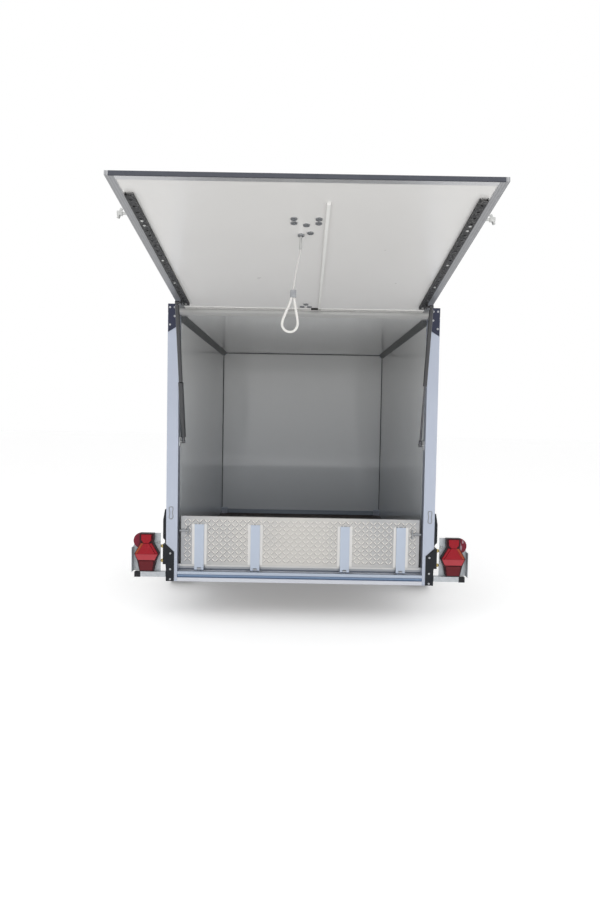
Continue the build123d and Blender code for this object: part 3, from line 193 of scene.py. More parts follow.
# Joint beads: strips of dark sealing compound, drawn with a gun into the corners between bulkhead,
# walls and roof and smoothed to a flat slope.
bead = 0.0045
floor_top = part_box("floor")[1][2]
corner_x, corner_y, corner_z = wall_low[0], bulkhead_low[1], roof_low[2]
cove_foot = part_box("roof_coves")[0][2]
# Columns: start, end, directions of the two legs
bead_runs = [
    ((corner_x, corner_y, floor_top), (corner_x, corner_y, cove_foot), (-1, 0, 0), (0, -1, 0)),
    ((-corner_x, corner_y, floor_top), (-corner_x, corner_y, cove_foot), (1, 0, 0), (0, -1, 0)),
    ((-corner_x, corner_y, corner_z), (corner_x, corner_y, corner_z), (0, -1, 0), (0, 0, -1)),
]
strips = bmesh.new()
for start, end, first_leg, second_leg in bead_runs:
    legs = (Vector(), bead * Vector(first_leg), bead * Vector(second_leg))
    near, far = [[strips.verts.new(Vector(place) + leg) for leg in legs] for place in (start, end)]
    strips.faces.new(near)
    strips.faces.new(reversed(far))
    for step in range(3):
        following = (step + 1) % 3
        strips.faces.new((near[step], near[following], far[following], far[step]))
bmesh.ops.recalc_face_normals(strips, faces=strips.faces)
bead_mesh = bpy.data.meshes.new("joint_beads")
strips.to_mesh(bead_mesh)
strips.free()
sealant = Finish("dark_sealant", Specular_IOR_Level=0.3)
sealant.clouded(30, 3.0, (0.09, 0.096, 0.105), (0.125, 0.132, 0.142))
sealant.rubbed(0.5, 80, 3.0, 0.2)
bead_mesh.materials.append(sealant.material)
joint_beads = bpy.data.objects.new("joint_beads", bead_mesh)
bpy.context.scene.collection.objects.link(joint_beads)
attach(joint_beads, "root")


# Aluminium profiles: the portal's posts and header, the angles along the box's edges, its base rails
# and the strip at the bulkhead's foot. Extruded, anodised satin, with fine draw lines along their length.
# The strip at the bulkhead's foot is painted dark as shade.
def draw_lines(finish, stretch, low, high):
    """Colour and roughness of an extrusion, drawn out along its length."""
    grain = finish.place.noise(420, 2.0, stretch)
    cloud = finish.place.noise(2.2, 3.0)
    finish.feed("Base Color", (grain * 0.5 + cloud * 0.5).between(low, high))
    finish.feed("Roughness", 0.3 + grain * 0.16)
    finish.bump(grain, 0.06, 0.0004)


anodised_low, anodised_high = (0.4, 0.44, 0.53), (0.52, 0.56, 0.65)
upright_alu = Finish("anodised_uprights", Metallic=0.82)
draw_lines(upright_alu, (1, 1, 0.01), anodised_low, anodised_high)
upright_alu.dress("post_right", "post_left", "corner_angles")
across_alu = Finish("anodised_crosswise", Metallic=0.82)
draw_lines(across_alu, (0.01, 1, 1), (0.42, 0.42, 0.415), (0.52, 0.52, 0.51))
across_alu.dress("header")
# Painted shade: the strip at the bulkhead's foot is dark.
shaded_foot_alu = Finish("shaded_foot_strip", Metallic=0.6)
draw_lines(shaded_foot_alu, (0.01, 1, 1), (0.1, 0.118, 0.145), (0.15, 0.172, 0.205))
shaded_foot_alu.dress("bulkhead_profile")
lengthwise_alu = Finish("anodised_lengthwise", Metallic=0.82)
draw_lines(lengthwise_alu, (1, 0.01, 1), anodised_low, anodised_high)
lengthwise_alu.dress("roof_angles", "base_rails")


# Rivets along the edge profiles: closed-end aluminium blind rivets with domed heads, one every
# hand's breadth, which hold the profiles to the panels.
def geometry_tree(name, inputs):
    """An empty node tree with named inputs, and those inputs as signals."""
    tree = bpy.data.node_groups.new(name, "GeometryNodeTree")
    tree.interface.new_socket("Geometry", in_out="INPUT", socket_type="NodeSocketGeometry")
    for label, kind in inputs.items():
        tree.interface.new_socket(label, in_out="INPUT", socket_type="NodeSocket" + kind)
    tree.interface.new_socket("Geometry", in_out="OUTPUT", socket_type="NodeSocketGeometry")
    source = tree.nodes.new("NodeGroupInput")
    return tree, {socket.name: Signal(tree, socket) for socket in source.outputs if socket.name}


def end_tree(tree, instances, material):
    """Makes the instances real, gives them their material and sends them out."""
    real = instances.node("GeometryNodeRealizeInstances", {}, {"Geometry": instances})
    dressed = real.node("GeometryNodeSetMaterial", {}, {"Geometry": real, "Material": material})
    sink = tree.nodes.new("NodeGroupOutput")
    tree.links.new(dressed.socket, sink.inputs["Geometry"])


def fastener_tree():
    """A chamfered head on every point, facing one way: many sides for a rivet, six for a bolt."""
    inputs = {"Sides": "Int", "Radius": "Float", "Height": "Float"}
    inputs |= {"Facing": "Vector", "Material": "Material"}
    tree, given = geometry_tree("fastener_heads", inputs)
    shank = given["Radius"].node(
        "GeometryNodeMeshCone",
        {},
        {
            "Vertices": given["Sides"],
            "Side Segments": 1,
            "Radius Top": given["Radius"],
            "Radius Bottom": given["Radius"],
            "Depth": given["Height"] * 0.55,
        },
    )
    crown = given["Radius"].node(
        "GeometryNodeMeshCone",
        {},
        {
            "Vertices": given["Sides"],
            "Side Segments": 1,
            "Radius Top": given["Radius"] * 0.62,
            "Radius Bottom": given["Radius"] * 0.98,
            "Depth": given["Height"] * 0.45,
        },
    )
    lift = given["Height"].node("ShaderNodeCombineXYZ", {}, {"Z": given["Height"] * 0.55})
    crown = crown.node("GeometryNodeTransform", {}, {"Geometry": crown, "Translation": lift})
    head = tree.nodes.new("GeometryNodeJoinGeometry")
    tree.links.new(shank.socket, head.inputs[0])
    tree.links.new(crown.socket, head.inputs[0])
    facing = given["Facing"]
    turned = facing.node("FunctionNodeAlignRotationToVector", {"axis": "Z"}, {"Vector": facing})
    placed = given["Geometry"].node(
        "GeometryNodeInstanceOnPoints",
        {},
        {"Points": given["Geometry"], "Instance": Signal(tree, head.outputs[0]), "Rotation": turned},
    )
    end_tree(tree, placed, given["Material"])
    return tree


def grown(name, tree, places, values, body):
    """Runs a tree on loose points and keeps the result as a plain mesh that rides on one body."""
    seeds = bpy.data.meshes.new(name)
    seeds.from_pydata(places, [], [])
    piece = bpy.data.objects.new(name, seeds)
    bpy.context.scene.collection.objects.link(piece)
    modifier = piece.modifiers.new("grow", "NODES")
    modifier.node_group = tree
    for item in tree.interface.items_tree:
        if item.in_out == "INPUT" and item.name in values:
            modifier[item.identifier] = values[item.name]
    bpy.context.view_layer.update()
    made = bpy.data.meshes.new_from_object(piece.evaluated_get(bpy.context.evaluated_depsgraph_get()))
    piece.modifiers.remove(modifier)
    piece.data = made
    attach(piece, body)
    return piece


def spaced(start, end, pitch):
    """Even steps from start to end, about one pitch apart."""
    steps = max(1, round(abs(end - start) / pitch))
    return [start + (end - start) * step / steps for step in range(steps + 1)]


heads = fastener_tree()
rivet_alu = Finish("rivet_aluminium", Metallic=0.85, Roughness=0.34)
rivet_alu.clouded(90, 2.0, (0.55, 0.57, 0.6), (0.68, 0.69, 0.71))
rivet_pitch, rivet_inset, end_margin = 0.16, 0.02, 0.05
eave_start, eave_end = 0.06, 0.1
corner_side_inset, corner_front_inset = 0.025, 0.03
front_rail_half, front_edge_half = 0.53, 0.6
rail_low, rail_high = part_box("base_rails")
angle_low, angle_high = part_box("roof_angles")
corner_low, corner_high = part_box("corner_angles")
rivet_values = {"Sides": 14, "Radius": 0.006, "Height": 0.0022, "Material": rivet_alu.material}
eaves = spaced(angle_low[1] + eave_start, angle_high[1] - eave_end, rivet_pitch)
rails = spaced(rail_low[1] + end_margin, rail_high[1] - end_margin, rivet_pitch)
uprights = spaced(corner_low[2] + end_margin, corner_high[2] - end_margin, rivet_pitch)
for side, name in ((1, "right"), (-1, "left")):
    values = rivet_values | {"Facing": (side, 0, 0)}
    places = [(side * angle_high[0], along, angle_low[2] + rivet_inset) for along in eaves]
    places += [(side * corner_high[0], corner_high[1] - corner_side_inset, up) for up in uprights]
    grown("profile_rivets_" + name, heads, places, values, "root")
    places = [(side * rail_high[0], along, rail_high[2] - rivet_inset) for along in rails]
    grown("rail_rivets_" + name, heads, places, values, "root")
values = rivet_values | {"Facing": (0, 1, 0)}
row = spaced(-front_rail_half, front_rail_half, rivet_pitch)
places = [(across, rail_high[1], rail_high[2] - rivet_inset) for across in row]
grown("front_rail_rivets", heads, places, values, "root")
row = spaced(-front_edge_half, front_edge_half, rivet_pitch)
places = [(across, angle_high[1], angle_low[2] + rivet_inset) for across in row]
for side in (-1, 1):
    places += [(side * (corner_high[0] - corner_front_inset), corner_high[1], up) for up in uprights]
grown("front_rivets", heads, places, values, "root")


# Corner caps: cast aluminium blocks over the joints of the edge profiles at the box's front corners,
# with rounded edges. They are glued on.
cap_leg, cap_proud, cap_round = 0.049, 0.001, 0.004
cap_foot_x, cap_foot_depth = 0.58, 0.06
caps = bmesh.new()
for side in (-1, 1):
    cap_boxes = [
        (
            (corner_high[0] - cap_leg, corner_high[1] - cap_leg, angle_high[2] - cap_leg),
            (corner_high[0] + cap_proud, corner_high[1] + cap_proud, angle_high[2] + cap_proud),
        ),
        (
            (cap_foot_x, rail_high[1] - cap_foot_depth, rail_low[2] - cap_proud),
            (rail_high[0] + cap_proud, rail_high[1] + cap_proud, rail_high[2] + cap_proud),
        ),
    ]
    for low, high in cap_boxes:
        low, high = Vector(low), Vector(high)
        middle = (low + high) / 2
        size = high - low
        middle.x *= side
        place = Matrix.Translation(middle) @ Matrix.Diagonal((*size, 1))
        block = bmesh.ops.create_cube(caps, size=1.0, matrix=place)
        edges = list({edge for vertex in block["verts"] for edge in vertex.link_edges})
        bmesh.ops.bevel(caps, geom=edges, offset=cap_round, segments=3, affect="EDGES", profile=0.5)
bmesh.ops.recalc_face_normals(caps, faces=caps.faces)
cap_mesh = bpy.data.meshes.new("corner_caps")
caps.to_mesh(cap_mesh)
caps.free()
cap_mesh.materials.append(upright_alu.material)
corner_caps = bpy.data.objects.new("corner_caps", cap_mesh)
bpy.context.scene.collection.objects.link(corner_caps)
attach(corner_caps, "root")


# Sill: an anodised threshold extrusion with a lip below, a groove and a gutter, whose lugs carry the
# drop flap's zinc-plated hinge pins. Its colour holds a painted highlight on the lip, painted bluish
# shade in the groove and bands of painted light and shade in the gutter.
sill_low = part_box("sill")[0]
lip_top, groove_foot, groove_top = 0.02, 0.0205, 0.0345
gutter_start, gutter_foot, gutter_shadow_line, gutter_shade = 0.017, 0.05, 0.0575, 0.0685
sill_alu = Finish("anodised_sill", Metallic=0.8)
x, y, z = sill_alu.place.axes()
up = z - sill_low[2]
grain = sill_alu.place.noise(420, 2.0, (0.01, 1, 1))
shade = grain.between((0.4, 0.455, 0.545), (0.5, 0.555, 0.64))
# Painted highlight: the lip is lighter.
shade = shade.tinted(up < lip_top, (0.6, 0.62, 0.67))
# Painted shade: the groove is darker and bluish.
shade = shade.tinted((up > groove_foot) * (up < groove_top), (0.2, 0.275, 0.4))
# Painted light and shade in the gutter: light at the top, a mid band, a dark painted shadow line, and
# light again at its foot.
gutter = y > sill_low[1] + gutter_start
shade = shade.tinted(gutter, (0.66, 0.655, 0.64))
shade = shade.tinted(gutter * (up < gutter_shade), (0.4, 0.415, 0.44))
shade = shade.tinted(gutter * (up < gutter_shadow_line), (0.18, 0.2, 0.245))
shade = shade.tinted(gutter * (up < gutter_foot), (0.85, 0.87, 0.92))
sill_alu.feed("Base Color", shade)
sill_alu.feed("Roughness", 0.3 + grain * 0.16)
sill_alu.bump(grain, 0.06, 0.0004)
sill_alu.dress("sill")
zinc = Finish("bright_zinc", Metallic=0.9)
zinc.clouded(70, 4.0, (0.5, 0.51, 0.51), (0.68, 0.68, 0.66))
zinc.rubbed(0.26, 160, 3.0, 0.2)
# Painted shade: zinc set dark for the flap's hinge rod.
shaded_zinc = Finish("shaded_zinc", Metallic=0.85)
shaded_zinc.clouded(70, 4.0, (0.15, 0.175, 0.205), (0.27, 0.295, 0.325))
shaded_zinc.rubbed(0.3, 160, 3.0, 0.2)
shaded_zinc.dress("flap_hinge_rod")
worn_zinc = Finish("worn_zinc", Metallic=0.7, Roughness=0.34)
worn_zinc.clouded(120, 3.0, (0.24, 0.25, 0.265), (0.4, 0.41, 0.425))


# Hinge plates and corner plates: pressed steel with a dark powder coat, riveted to the posts' heads
# and feet with bright rivets. Yellow-passivated bolts hold the wings of the corner plates.
def powder_coat(name, low, high):
    """Fine-grained powder paint with a dull gloss."""
    coat = Finish(name, Specular_IOR_Level=0.25)
    coat.clouded(14, 4.0, low, high)
    coat.rubbed(0.42, 300, 2.0, 0.2)
    coat.bump(coat.place.noise(1400, 2.0), 0.12, 0.0004)
    return coat


navy_coat = powder_coat("navy_powder_coat", (0.022, 0.025, 0.045), (0.034, 0.038, 0.064))
navy_coat.dress("hinge_plates")
black_coat = powder_coat("black_powder_coat", (0.008, 0.0095, 0.012), (0.015, 0.017, 0.021))
black_coat.dress("corner_plates", "latch_levers", "coupling_handle")
bright_rivet = Finish("bright_rivet", Metallic=0.6, Roughness=0.3)
bright_rivet.clouded(120, 2.0, (0.36, 0.37, 0.39), (0.48, 0.49, 0.5))
yellow_zinc = Finish("yellow_passivation", Metallic=0.85, Roughness=0.32)
yellow_zinc.clouded(110, 4.0, (0.5, 0.36, 0.1), (0.74, 0.6, 0.26))
plate_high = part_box("hinge_plates")[1]
foot_low, foot_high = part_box("corner_plates")
plate_face = foot_low[1]
plate_rivets = {"Sides": 14, "Radius": 0.0052, "Height": 0.003, "Facing": (0, -1, 0)}
plate_rivets["Material"] = bright_rivet.material
hinge_inner, hinge_outer = 0.645, plate_high[0] - 0.01
# Columns: X, height under the plate's top edge
hinge_rivets = [(hinge_inner, 0.018), (hinge_outer, 0.018), (hinge_inner, 0.062), (hinge_outer, 0.104)]
places = []
for side in (-1, 1):
    places += [(side * across, plate_face, plate_high[2] - drop) for across, drop in hinge_rivets]
grown("hinge_plate_rivets", heads, places, plate_rivets, "root")
corner_rivet_x, corner_rivet_heights = 0.657, (0.01, 0.061, 0.142)
places = []
for side in (-1, 1):
    places += [(side * corner_rivet_x, plate_face, foot_low[2] + up) for up in corner_rivet_heights]
grown("corner_plate_rivets", heads, places, plate_rivets, "root")
bolt_depth, bolt_heights = 0.018, (0.102, 0.176)
yellow_bolts = {"Sides": 6, "Radius": 0.009, "Height": 0.014, "Material": yellow_zinc.material}
for side, name in ((1, "right"), (-1, "left")):
    places = [(side * foot_high[0], foot_low[1] + bolt_depth, foot_low[2] + up) for up in bolt_heights]
    values = yellow_bolts | {"Facing": (side, 0, 0)}
    grown("corner_bolts_" + name, heads, places, values, "root")


# Over-centre latches: a black lever on each post's outer side, and a zinc-plated wire loop bent
# double on the rear face, which catches the tailgate's knob.
def tube(name, route, radius, sides, material, closed=False):
    """A round wire along a run of points, as a plain mesh."""
    curve = bpy.data.curves.new(name, "CURVE")
    curve.dimensions = "3D"
    curve.bevel_depth = radius
    curve.bevel_resolution = sides
    curve.use_fill_caps = not closed
    spline = curve.splines.new("NURBS")
    spline.points.add(len(route) - 1)
    for point, place in zip(spline.points, route):
        point.co = (*place, 1)
    spline.order_u = 3
    spline.resolution_u = 6
    spline.use_cyclic_u = closed
    spline.use_endpoint_u = not closed
    rough = bpy.data.objects.new(name + "_curve", curve)
    bpy.context.scene.collection.objects.link(rough)
    bpy.context.view_layer.update()
    made = bpy.data.meshes.new_from_object(rough.evaluated_get(bpy.context.evaluated_depsgraph_get()))
    bpy.data.objects.remove(rough)
    made.name = name
    made.materials.clear()
    made.materials.append(material)
    made.shade_smooth()
    piece = bpy.data.objects.new(name, made)
    bpy.context.scene.collection.objects.link(piece)
    return piece


loop_low, loop_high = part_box("latch_loops")
loop_wire = (loop_high[1] - loop_low[1]) / 2
loop_reach = 0.012
loop_half = loop_reach - loop_wire
loop_face = (loop_low[1] + loop_high[1]) / 2
loop_centre = loop_high[0] - loop_reach
loops = []
for side, name in ((1, "right"), (-1, "left")):
    low, high = loop_low[2] + loop_wire, loop_high[2] - loop_wire
    waist = (low + high) / 2
    route = [
        (side * (loop_centre + across * loop_half), loop_face, up)
        for across, up in (
            (-0.9, low), (0.9, low), (1, low + 0.016), (0.55, waist), (1, high - 0.016), (0.9, high),
            (-0.9, high), (-1, high - 0.016), (-0.55, waist), (-1, low + 0.016),
        )
    ]
    loops.append(tube("latch_loop_" + name, route, loop_wire, 3, worn_zinc.material, closed=True))
    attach(loops[-1], "root")
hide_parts("latch_loops")
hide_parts("latch_loops")


# Tail lamps: black moulded housings on galvanised plates, with glossy red and amber lenses whose
# inner face is moulded into small prisms.
spangle = Finish("galvanised", Metallic=0.78)
facets = {"Vector": spangle.place, "Scale": 95.0}
crystals = spangle.place.node("ShaderNodeTexVoronoi", {}, facets, "Color")
flake, _, _ = crystals.axes()
spangle.feed("Base Color", flake.between((0.45, 0.475, 0.5), (0.54, 0.565, 0.59)))
spangle.feed("Roughness", 0.36 + flake * 0.14)
spangle.dress("lamp_brackets", "axle", "drawbar", "jockey_clamp")


def lens(name, low, high):
    """Clear coloured plastic with a fine grid of prisms behind its glossy face."""
    clear = Finish(name, Coat_Weight=0.12, Coat_Roughness=0.05, Roughness=0.22, Specular_IOR_Level=0.14)
    square = {"feature": "F1", "distance": "CHEBYCHEV"}
    grid = {"Vector": clear.place, "Scale": 190.0, "Randomness": 0.0}
    cells = clear.place.node("ShaderNodeTexVoronoi", square, grid)
    clear.bump(cells, 0.35, 0.001)
    return clear, cells.between(high, low)


red_lens, shade = lens("red_lens", (0.16, 0.004, 0.009), (0.3, 0.008, 0.017))
x, y, z = red_lens.place.axes()
up = z - sill_low[2]
# Painted shade darkens the red lens's foot; a painted highlight makes the band above it lighter and
# pinker.
shaded_lens_foot, highlight_band_top = 0.1085, 0.1395
shade = shade.tinted((up > shaded_lens_foot) * (up < highlight_band_top), (0.33, 0.04, 0.05))
shade = shade.tinted(up < shaded_lens_foot, (0.1, 0.01, 0.014))
marker_start = 0.002
marker = y > sill_low[1] + marker_start
streak = red_lens.place.noise(34, 2.0, (1, 1, 0.25)) > 0.56
shade = shade.tinted(marker, (0.15, 0.012, 0.026)).tinted(marker * streak, (0.3, 0.2, 0.23))
red_lens.feed("Base Color", shade)
red_lens.dress("lamp_lenses")
amber_lens, shade = lens("amber_lens", (0.2, 0.03, 0.012), (0.36, 0.062, 0.026))
amber_lens.feed("Base Color", shade)
amber_lens.dress("lamp_indicators")
moulded = Finish("moulded_black", Specular_IOR_Level=0.25)
x, y, z = moulded.place.axes()
shade = moulded.place.noise(20, 3.0).between((0.01, 0.01, 0.012), (0.02, 0.02, 0.022))
moulded.feed("Base Color", shade.tinted(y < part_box("lamp_housings")[0][1] + 0.004, (0.03, 0.006, 0.009)))
moulded.rubbed(0.4, 200, 3.0, 0.22)
moulded.dress("lamp_housings", "mudguards")
bracket_bolt = (0.72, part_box("post_right")[0][1] + 0.02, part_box("lamp_brackets")[0][2] + 0.172)
places = [(side * bracket_bolt[0], *bracket_bolt[1:]) for side in (-1, 1)]
values = {"Sides": 6, "Radius": 0.008, "Height": 0.006, "Facing": (0, -1, 0)}
values["Material"] = bright_rivet.material
grown("bracket_bolts", heads, places, values, "root")


# Tailgate: a white sandwich panel in a mitred aluminium frame with a slate-grey rubber seal along
# its free edge. Black perforated channels stiffen its inner face. The panel is painted darker towards
# its free edge as shade; the frame has painted light near the hinge and painted shade on its side edges.
gate_skin = Finish("tailgate_skin", Coat_Weight=0.3, Coat_Roughness=0.1)
gate_length, gate_root = 1.35, 0.045
x, y, z = gate_skin.place.axes()
# Painted shade: the skin darkens from the hinge towards the free edge, with a random mottle.
reach = (sill_low[1] - y) * (1 / gate_length) + (gate_skin.place.noise(1.8, 2.0) - 0.5) * 0.5
gate_skin.feed("Base Color", reach.between((0.82, 0.812, 0.8), (0.7, 0.692, 0.675)))
gate_skin.rubbed(0.24, 9, 3.0, 0.14)
gate_skin.dress("tailgate_panel")
gate_alu = Finish("anodised_gate_frame", Metallic=0.75)
x, y, z = gate_alu.place.axes()
frame_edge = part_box("tailgate_panel")[1][0]
ridges = (x * 700.0).sine() * 0.5 + 0.5
grain = gate_alu.place.noise(420, 2.0, (1, 0.02, 1)) * 0.6 + ridges * (abs(x) > frame_edge) * 0.4
shade = grain.between((0.6, 0.605, 0.62), (0.85, 0.855, 0.865))
# Painted light: the frame is lighter near the hinge.
shade = shade.tinted(y > sill_low[1] - gate_root, (0.93, 0.92, 0.9))
# Painted shade: the frame's side edges are darker.
painted_side_shade = grain.between((0.26, 0.265, 0.28), (0.5, 0.505, 0.515))
gate_alu.feed("Base Color", shade.tinted(abs(x) > frame_edge, painted_side_shade))
gate_alu.feed("Roughness", 0.3 + grain * 0.16)
gate_alu.dress("tailgate_frame")
rail_steel = Finish("rail_steel", Metallic=0.3, Specular_IOR_Level=0.3)
speck = rail_steel.place.noise(150, 4.0) > 0.58
shade = rail_steel.place.noise(30, 3.0).between((0.022, 0.023, 0.025), (0.05, 0.05, 0.052))
rail_steel.feed("Base Color", shade.tinted(speck, (0.13, 0.13, 0.13)))
rail_steel.rubbed(0.4, 200, 3.0, 0.2)
rail_steel.dress("tailgate_rails")
gate_turn = math.radians(-98.2)
pivot_y, pivot_z = sill_low[1] - 0.025, sill_low[2] + 1.381
rail_x, rail_face = 0.57, 0.015
rail_bolts = [0.095, 0.396, 0.664, 0.999, 1.037]
places = [
    (
        side * rail_x,
        pivot_y + rail_face * math.cos(gate_turn) + along * math.sin(gate_turn),
        pivot_z + rail_face * math.sin(gate_turn) - along * math.cos(gate_turn),
    )
    for side in (-1, 1)
    for along in rail_bolts
]
facing = (0, math.cos(gate_turn), math.sin(gate_turn))
values = {"Sides": 8, "Radius": 0.006, "Height": 0.004, "Facing": facing, "Material": zinc.material}
grown("rail_bolts", heads, places, values, "tailgate")


def soft_rubber(name, low, high):
    """Matt rubber with a dusty bloom."""
    rubber = Finish(name, Specular_IOR_Level=0.3)
    rubber.clouded(26, 4.0, low, high)
    rubber.rubbed(0.6, 90, 3.0, 0.25)
    rubber.bump(rubber.place.noise(500, 2.0), 0.1, 0.0005)
    return rubber


seal_rubber = soft_rubber("seal_rubber", (0.045, 0.048, 0.06), (0.065, 0.069, 0.082))
seal_rubber.dress("tailgate_seal")
black_rubber = soft_rubber("black_rubber", (0.014, 0.014, 0.014), (0.028, 0.028, 0.028))
black_rubber.dress("cable_gland", "jockey_wheel")


# Fittings on the tailgate: zinc star knobs on its side edges, bolt cups through the panel,
# an eyelet for the pull rope and a white plastic cable duct.
zinc.dress("latch_knobs", "strut_studs", "coupling")
worn_zinc.dress("bolt_cups", "rope_eyelet", "rope_crimp", "flap_bolts")
duct_white = Finish("duct_white", Specular_IOR_Level=0.4)
duct_white.clouded(16, 3.0, (0.7, 0.7, 0.68), (0.78, 0.78, 0.76))
duct_white.rubbed(0.4, 70, 3.0, 0.15)
duct_white.dress("cable_duct")


# Pull rope: white braided cord that hangs from the eyelet in a zinc sleeve. Its end is turned back
# into a thicker hand loop and held by a crimp.
rope_radius, thin_radius, grip_radius, grip_start = 0.004, 0.0024, 0.0048, 0.215
rope_low, rope_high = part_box("pull_rope")
rope_y = (rope_low[1] + rope_high[1]) / 2
# Columns: X, drop below the eyelet
rope_route = [
    (-0.017, 0), (-0.0173, 0.0485), (-0.0296, 0.1059), (-0.0378, 0.1571), (-0.0429, 0.1961),
    (-0.0511, 0.235), (-0.0655, 0.2698), (-0.0798, 0.3026), (-0.0819, 0.3272), (-0.0655, 0.3457),
    (-0.0409, 0.3467), (-0.0245, 0.3293), (-0.0235, 0.3026), (-0.0317, 0.2657), (-0.0388, 0.2207),
]
rope_line = bpy.data.curves.new("rope_line", "CURVE")
rope_line.dimensions = "3D"
spline = rope_line.splines.new("NURBS")
spline.points.add(len(rope_route) - 1)
for point, (across, drop) in zip(spline.points, rope_route):
    point.co = (across, rope_y, rope_high[2] - drop, 1)
spline.order_u = 3
spline.use_endpoint_u = True
spline.resolution_u = 14
guide = bpy.data.objects.new("rope_line", rope_line)
bpy.context.scene.collection.objects.link(guide)
bpy.context.view_layer.update()
line_mesh = bpy.data.meshes.new_from_object(guide.evaluated_get(bpy.context.evaluated_depsgraph_get()))
rope_path = [vertex.co.copy() for vertex in line_mesh.vertices]
bpy.data.objects.remove(guide)


def braided(path, thin, thick, grip_start, sides, plait):
    """A closed braided tube along the path, thicker from where the grip starts, with UVs along it."""
    shape = bmesh.new()
    layer = shape.loops.layers.uv.new("along")
    rings, lengths, run = [], [], 0.0
    for index, here in enumerate(path):
        before, after = path[max(index - 1, 0)], path[min(index + 1, len(path) - 1)]
        ahead = (after - before).normalized()
        outward = Vector((0, 1, 0))
        sideways = ahead.cross(outward).normalized()
        run += (here - before).length
        lengths.append(run)
        radius = thin if run < grip_start else thick
        ring = []
        for step in range(sides):
            turn = 2 * math.pi * step / sides
            weave = math.sin(4 * turn + run / plait) * math.sin(4 * turn - run / plait)
            reach = radius * (0.95 + 0.05 * weave)
            spoke = math.cos(turn) * sideways + math.sin(turn) * outward
            ring.append(shape.verts.new(here + reach * spoke))
        rings.append(ring)
    for index, (first, second) in enumerate(zip(rings, rings[1:])):
        for step in range(sides):
            following = (step + 1) % sides
            face = shape.faces.new((first[step], first[following], second[following], second[step]))
            face.smooth = True
            corners = ((step, index), (step + 1, index), (step + 1, index + 1), (step, index + 1))
            for loop, (around, ring) in zip(face.loops, corners):
                loop[layer].uv = (around / sides, lengths[ring])
    shape.faces.new(reversed(rings[0]))
    shape.faces.new(rings[-1])
    bmesh.ops.recalc_face_normals(shape, faces=shape.faces)
    made = bpy.data.meshes.new("pull_rope_braid")
    shape.to_mesh(made)
    shape.free()
    return made


braid = Finish("white_braid", Specular_IOR_Level=0.3, Sheen_Weight=0.2)
uv = braid.place.node("ShaderNodeUVMap", {"uv_map": "along"}, {})
around, along, _ = uv.axes()
strands, lay = 50.27, 1100.0
left_lay = (around * strands + along * lay).sine()
right_lay = (around * strands - along * lay).sine()
yarn = left_lay * right_lay * 0.5 + 0.5
white_yarn = yarn.between((0.52, 0.51, 0.49), (0.7, 0.69, 0.67))
braid.feed("Base Color", white_yarn.tinted(along < grip_start, (0.56, 0.55, 0.535)))
braid.feed("Roughness", 0.6 + yarn * 0.2)
braid.bump(yarn, 0.5, 0.0008)
rope_mesh = braided(rope_path, thin_radius, grip_radius, grip_start, sides=24, plait=0.0009)
rope = bpy.data.objects.new("pull_rope_braid", rope_mesh)
rope.data.materials.append(braid.material)
bpy.context.scene.collection.objects.link(rope)
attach(rope, "tailgate")
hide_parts("pull_rope")
sleeve_radius, sleeve_points = 0.005, 9
sleeve = tube("rope_sleeve", rope_path[:sleeve_points], sleeve_radius, 3, zinc.material)
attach(sleeve, "tailgate")


# Gas struts: semi-gloss black cylinders on the tailgate's studs and chromed rods down to the posts.
# The left rod carries a thick black locking sleeve. The rods' chrome is painted dark as shade.
strut_black = Finish("strut_black", Coat_Weight=0.3, Coat_Roughness=0.15)
strut_black.clouded(18, 3.0, (0.026, 0.027, 0.03), (0.042, 0.043, 0.046))
strut_black.rubbed(0.3, 60, 3.0, 0.18)
strut_black.dress("strut_cylinder_right", "strut_cylinder_left", "strut_sleeve_left")
chrome = Finish("chrome_painted_dark", Metallic=1.0)
# Painted shade: the chrome's colour is set dark.
chrome.clouded(30, 2.0, (0.1, 0.102, 0.108), (0.17, 0.172, 0.18))
chrome.feed("Roughness", 0.12 + chrome.place.noise(200, 2.0, (1, 1, 0.05)) * 0.12)
chrome.dress("strut_rod_right", "strut_rod_left")


# Drop flap: folded aluminium chequer plate with raised bars in alternate directions, stiffened by
# four hat-section straps that end in hinge knuckles. Two spring bolts lock it to the posts.
# Its colour holds painted light: the plate lighter in the middle and darker towards its ends, each bar
# lit on its upper side and shaded on its lower, and a painted bluish shade on the straps' webs.
chequer_alu = Finish("chequer_aluminium", Metallic=0.72)
x, y, z = chequer_alu.place.axes()
# Painted light in the plate's middle, darker towards its ends, with a random mottle.
lit_middle_and_mottle = 1.15 - abs(x) * 1.5 + (chequer_alu.place.noise(5, 4.0) - 0.5) * 1.2
chequer_alu.feed("Base Color", lit_middle_and_mottle.between((0.36, 0.37, 0.39), (0.56, 0.545, 0.52)))
chequer_alu.rubbed(0.28, 55, 4.0, 0.22)
chequer_alu.bump(chequer_alu.place.noise(260, 3.0), 0.1, 0.0008)
chequer_alu.dress("flap_plate")
bar_alu = Finish("chequer_bars_painted_light", Metallic=0.7)
lit_side = bar_alu.place.node("ShaderNodeAttribute", {"attribute_name": "side"}, {}, "Fac")
x, y, z = bar_alu.place.axes()
# Painted light and shade on the bars: light on the upper side, dark on the lower, stronger towards the
# plate's ends.
bar_light_and_shade = lit_side * (abs(x) * 1.3 + 0.5) + 0.55 - abs(x) * 0.3
bar_alu.feed("Base Color", bar_light_and_shade.between((0.24, 0.24, 0.25), (0.88, 0.85, 0.8)))
bar_alu.rubbed(0.24, 55, 4.0, 0.16)
strap_alu = Finish("strap_aluminium", Metallic=0.75)
x, y, z = strap_alu.place.axes()
strap_middles, web_half = (0.229, 0.515), 0.0236
on_web = [abs(abs(x) - middle) < web_half for middle in strap_middles]
grain = strap_alu.place.noise(420, 2.0, (1, 1, 0.02))
shade = grain.between((0.63, 0.62, 0.61), (0.72, 0.71, 0.695))
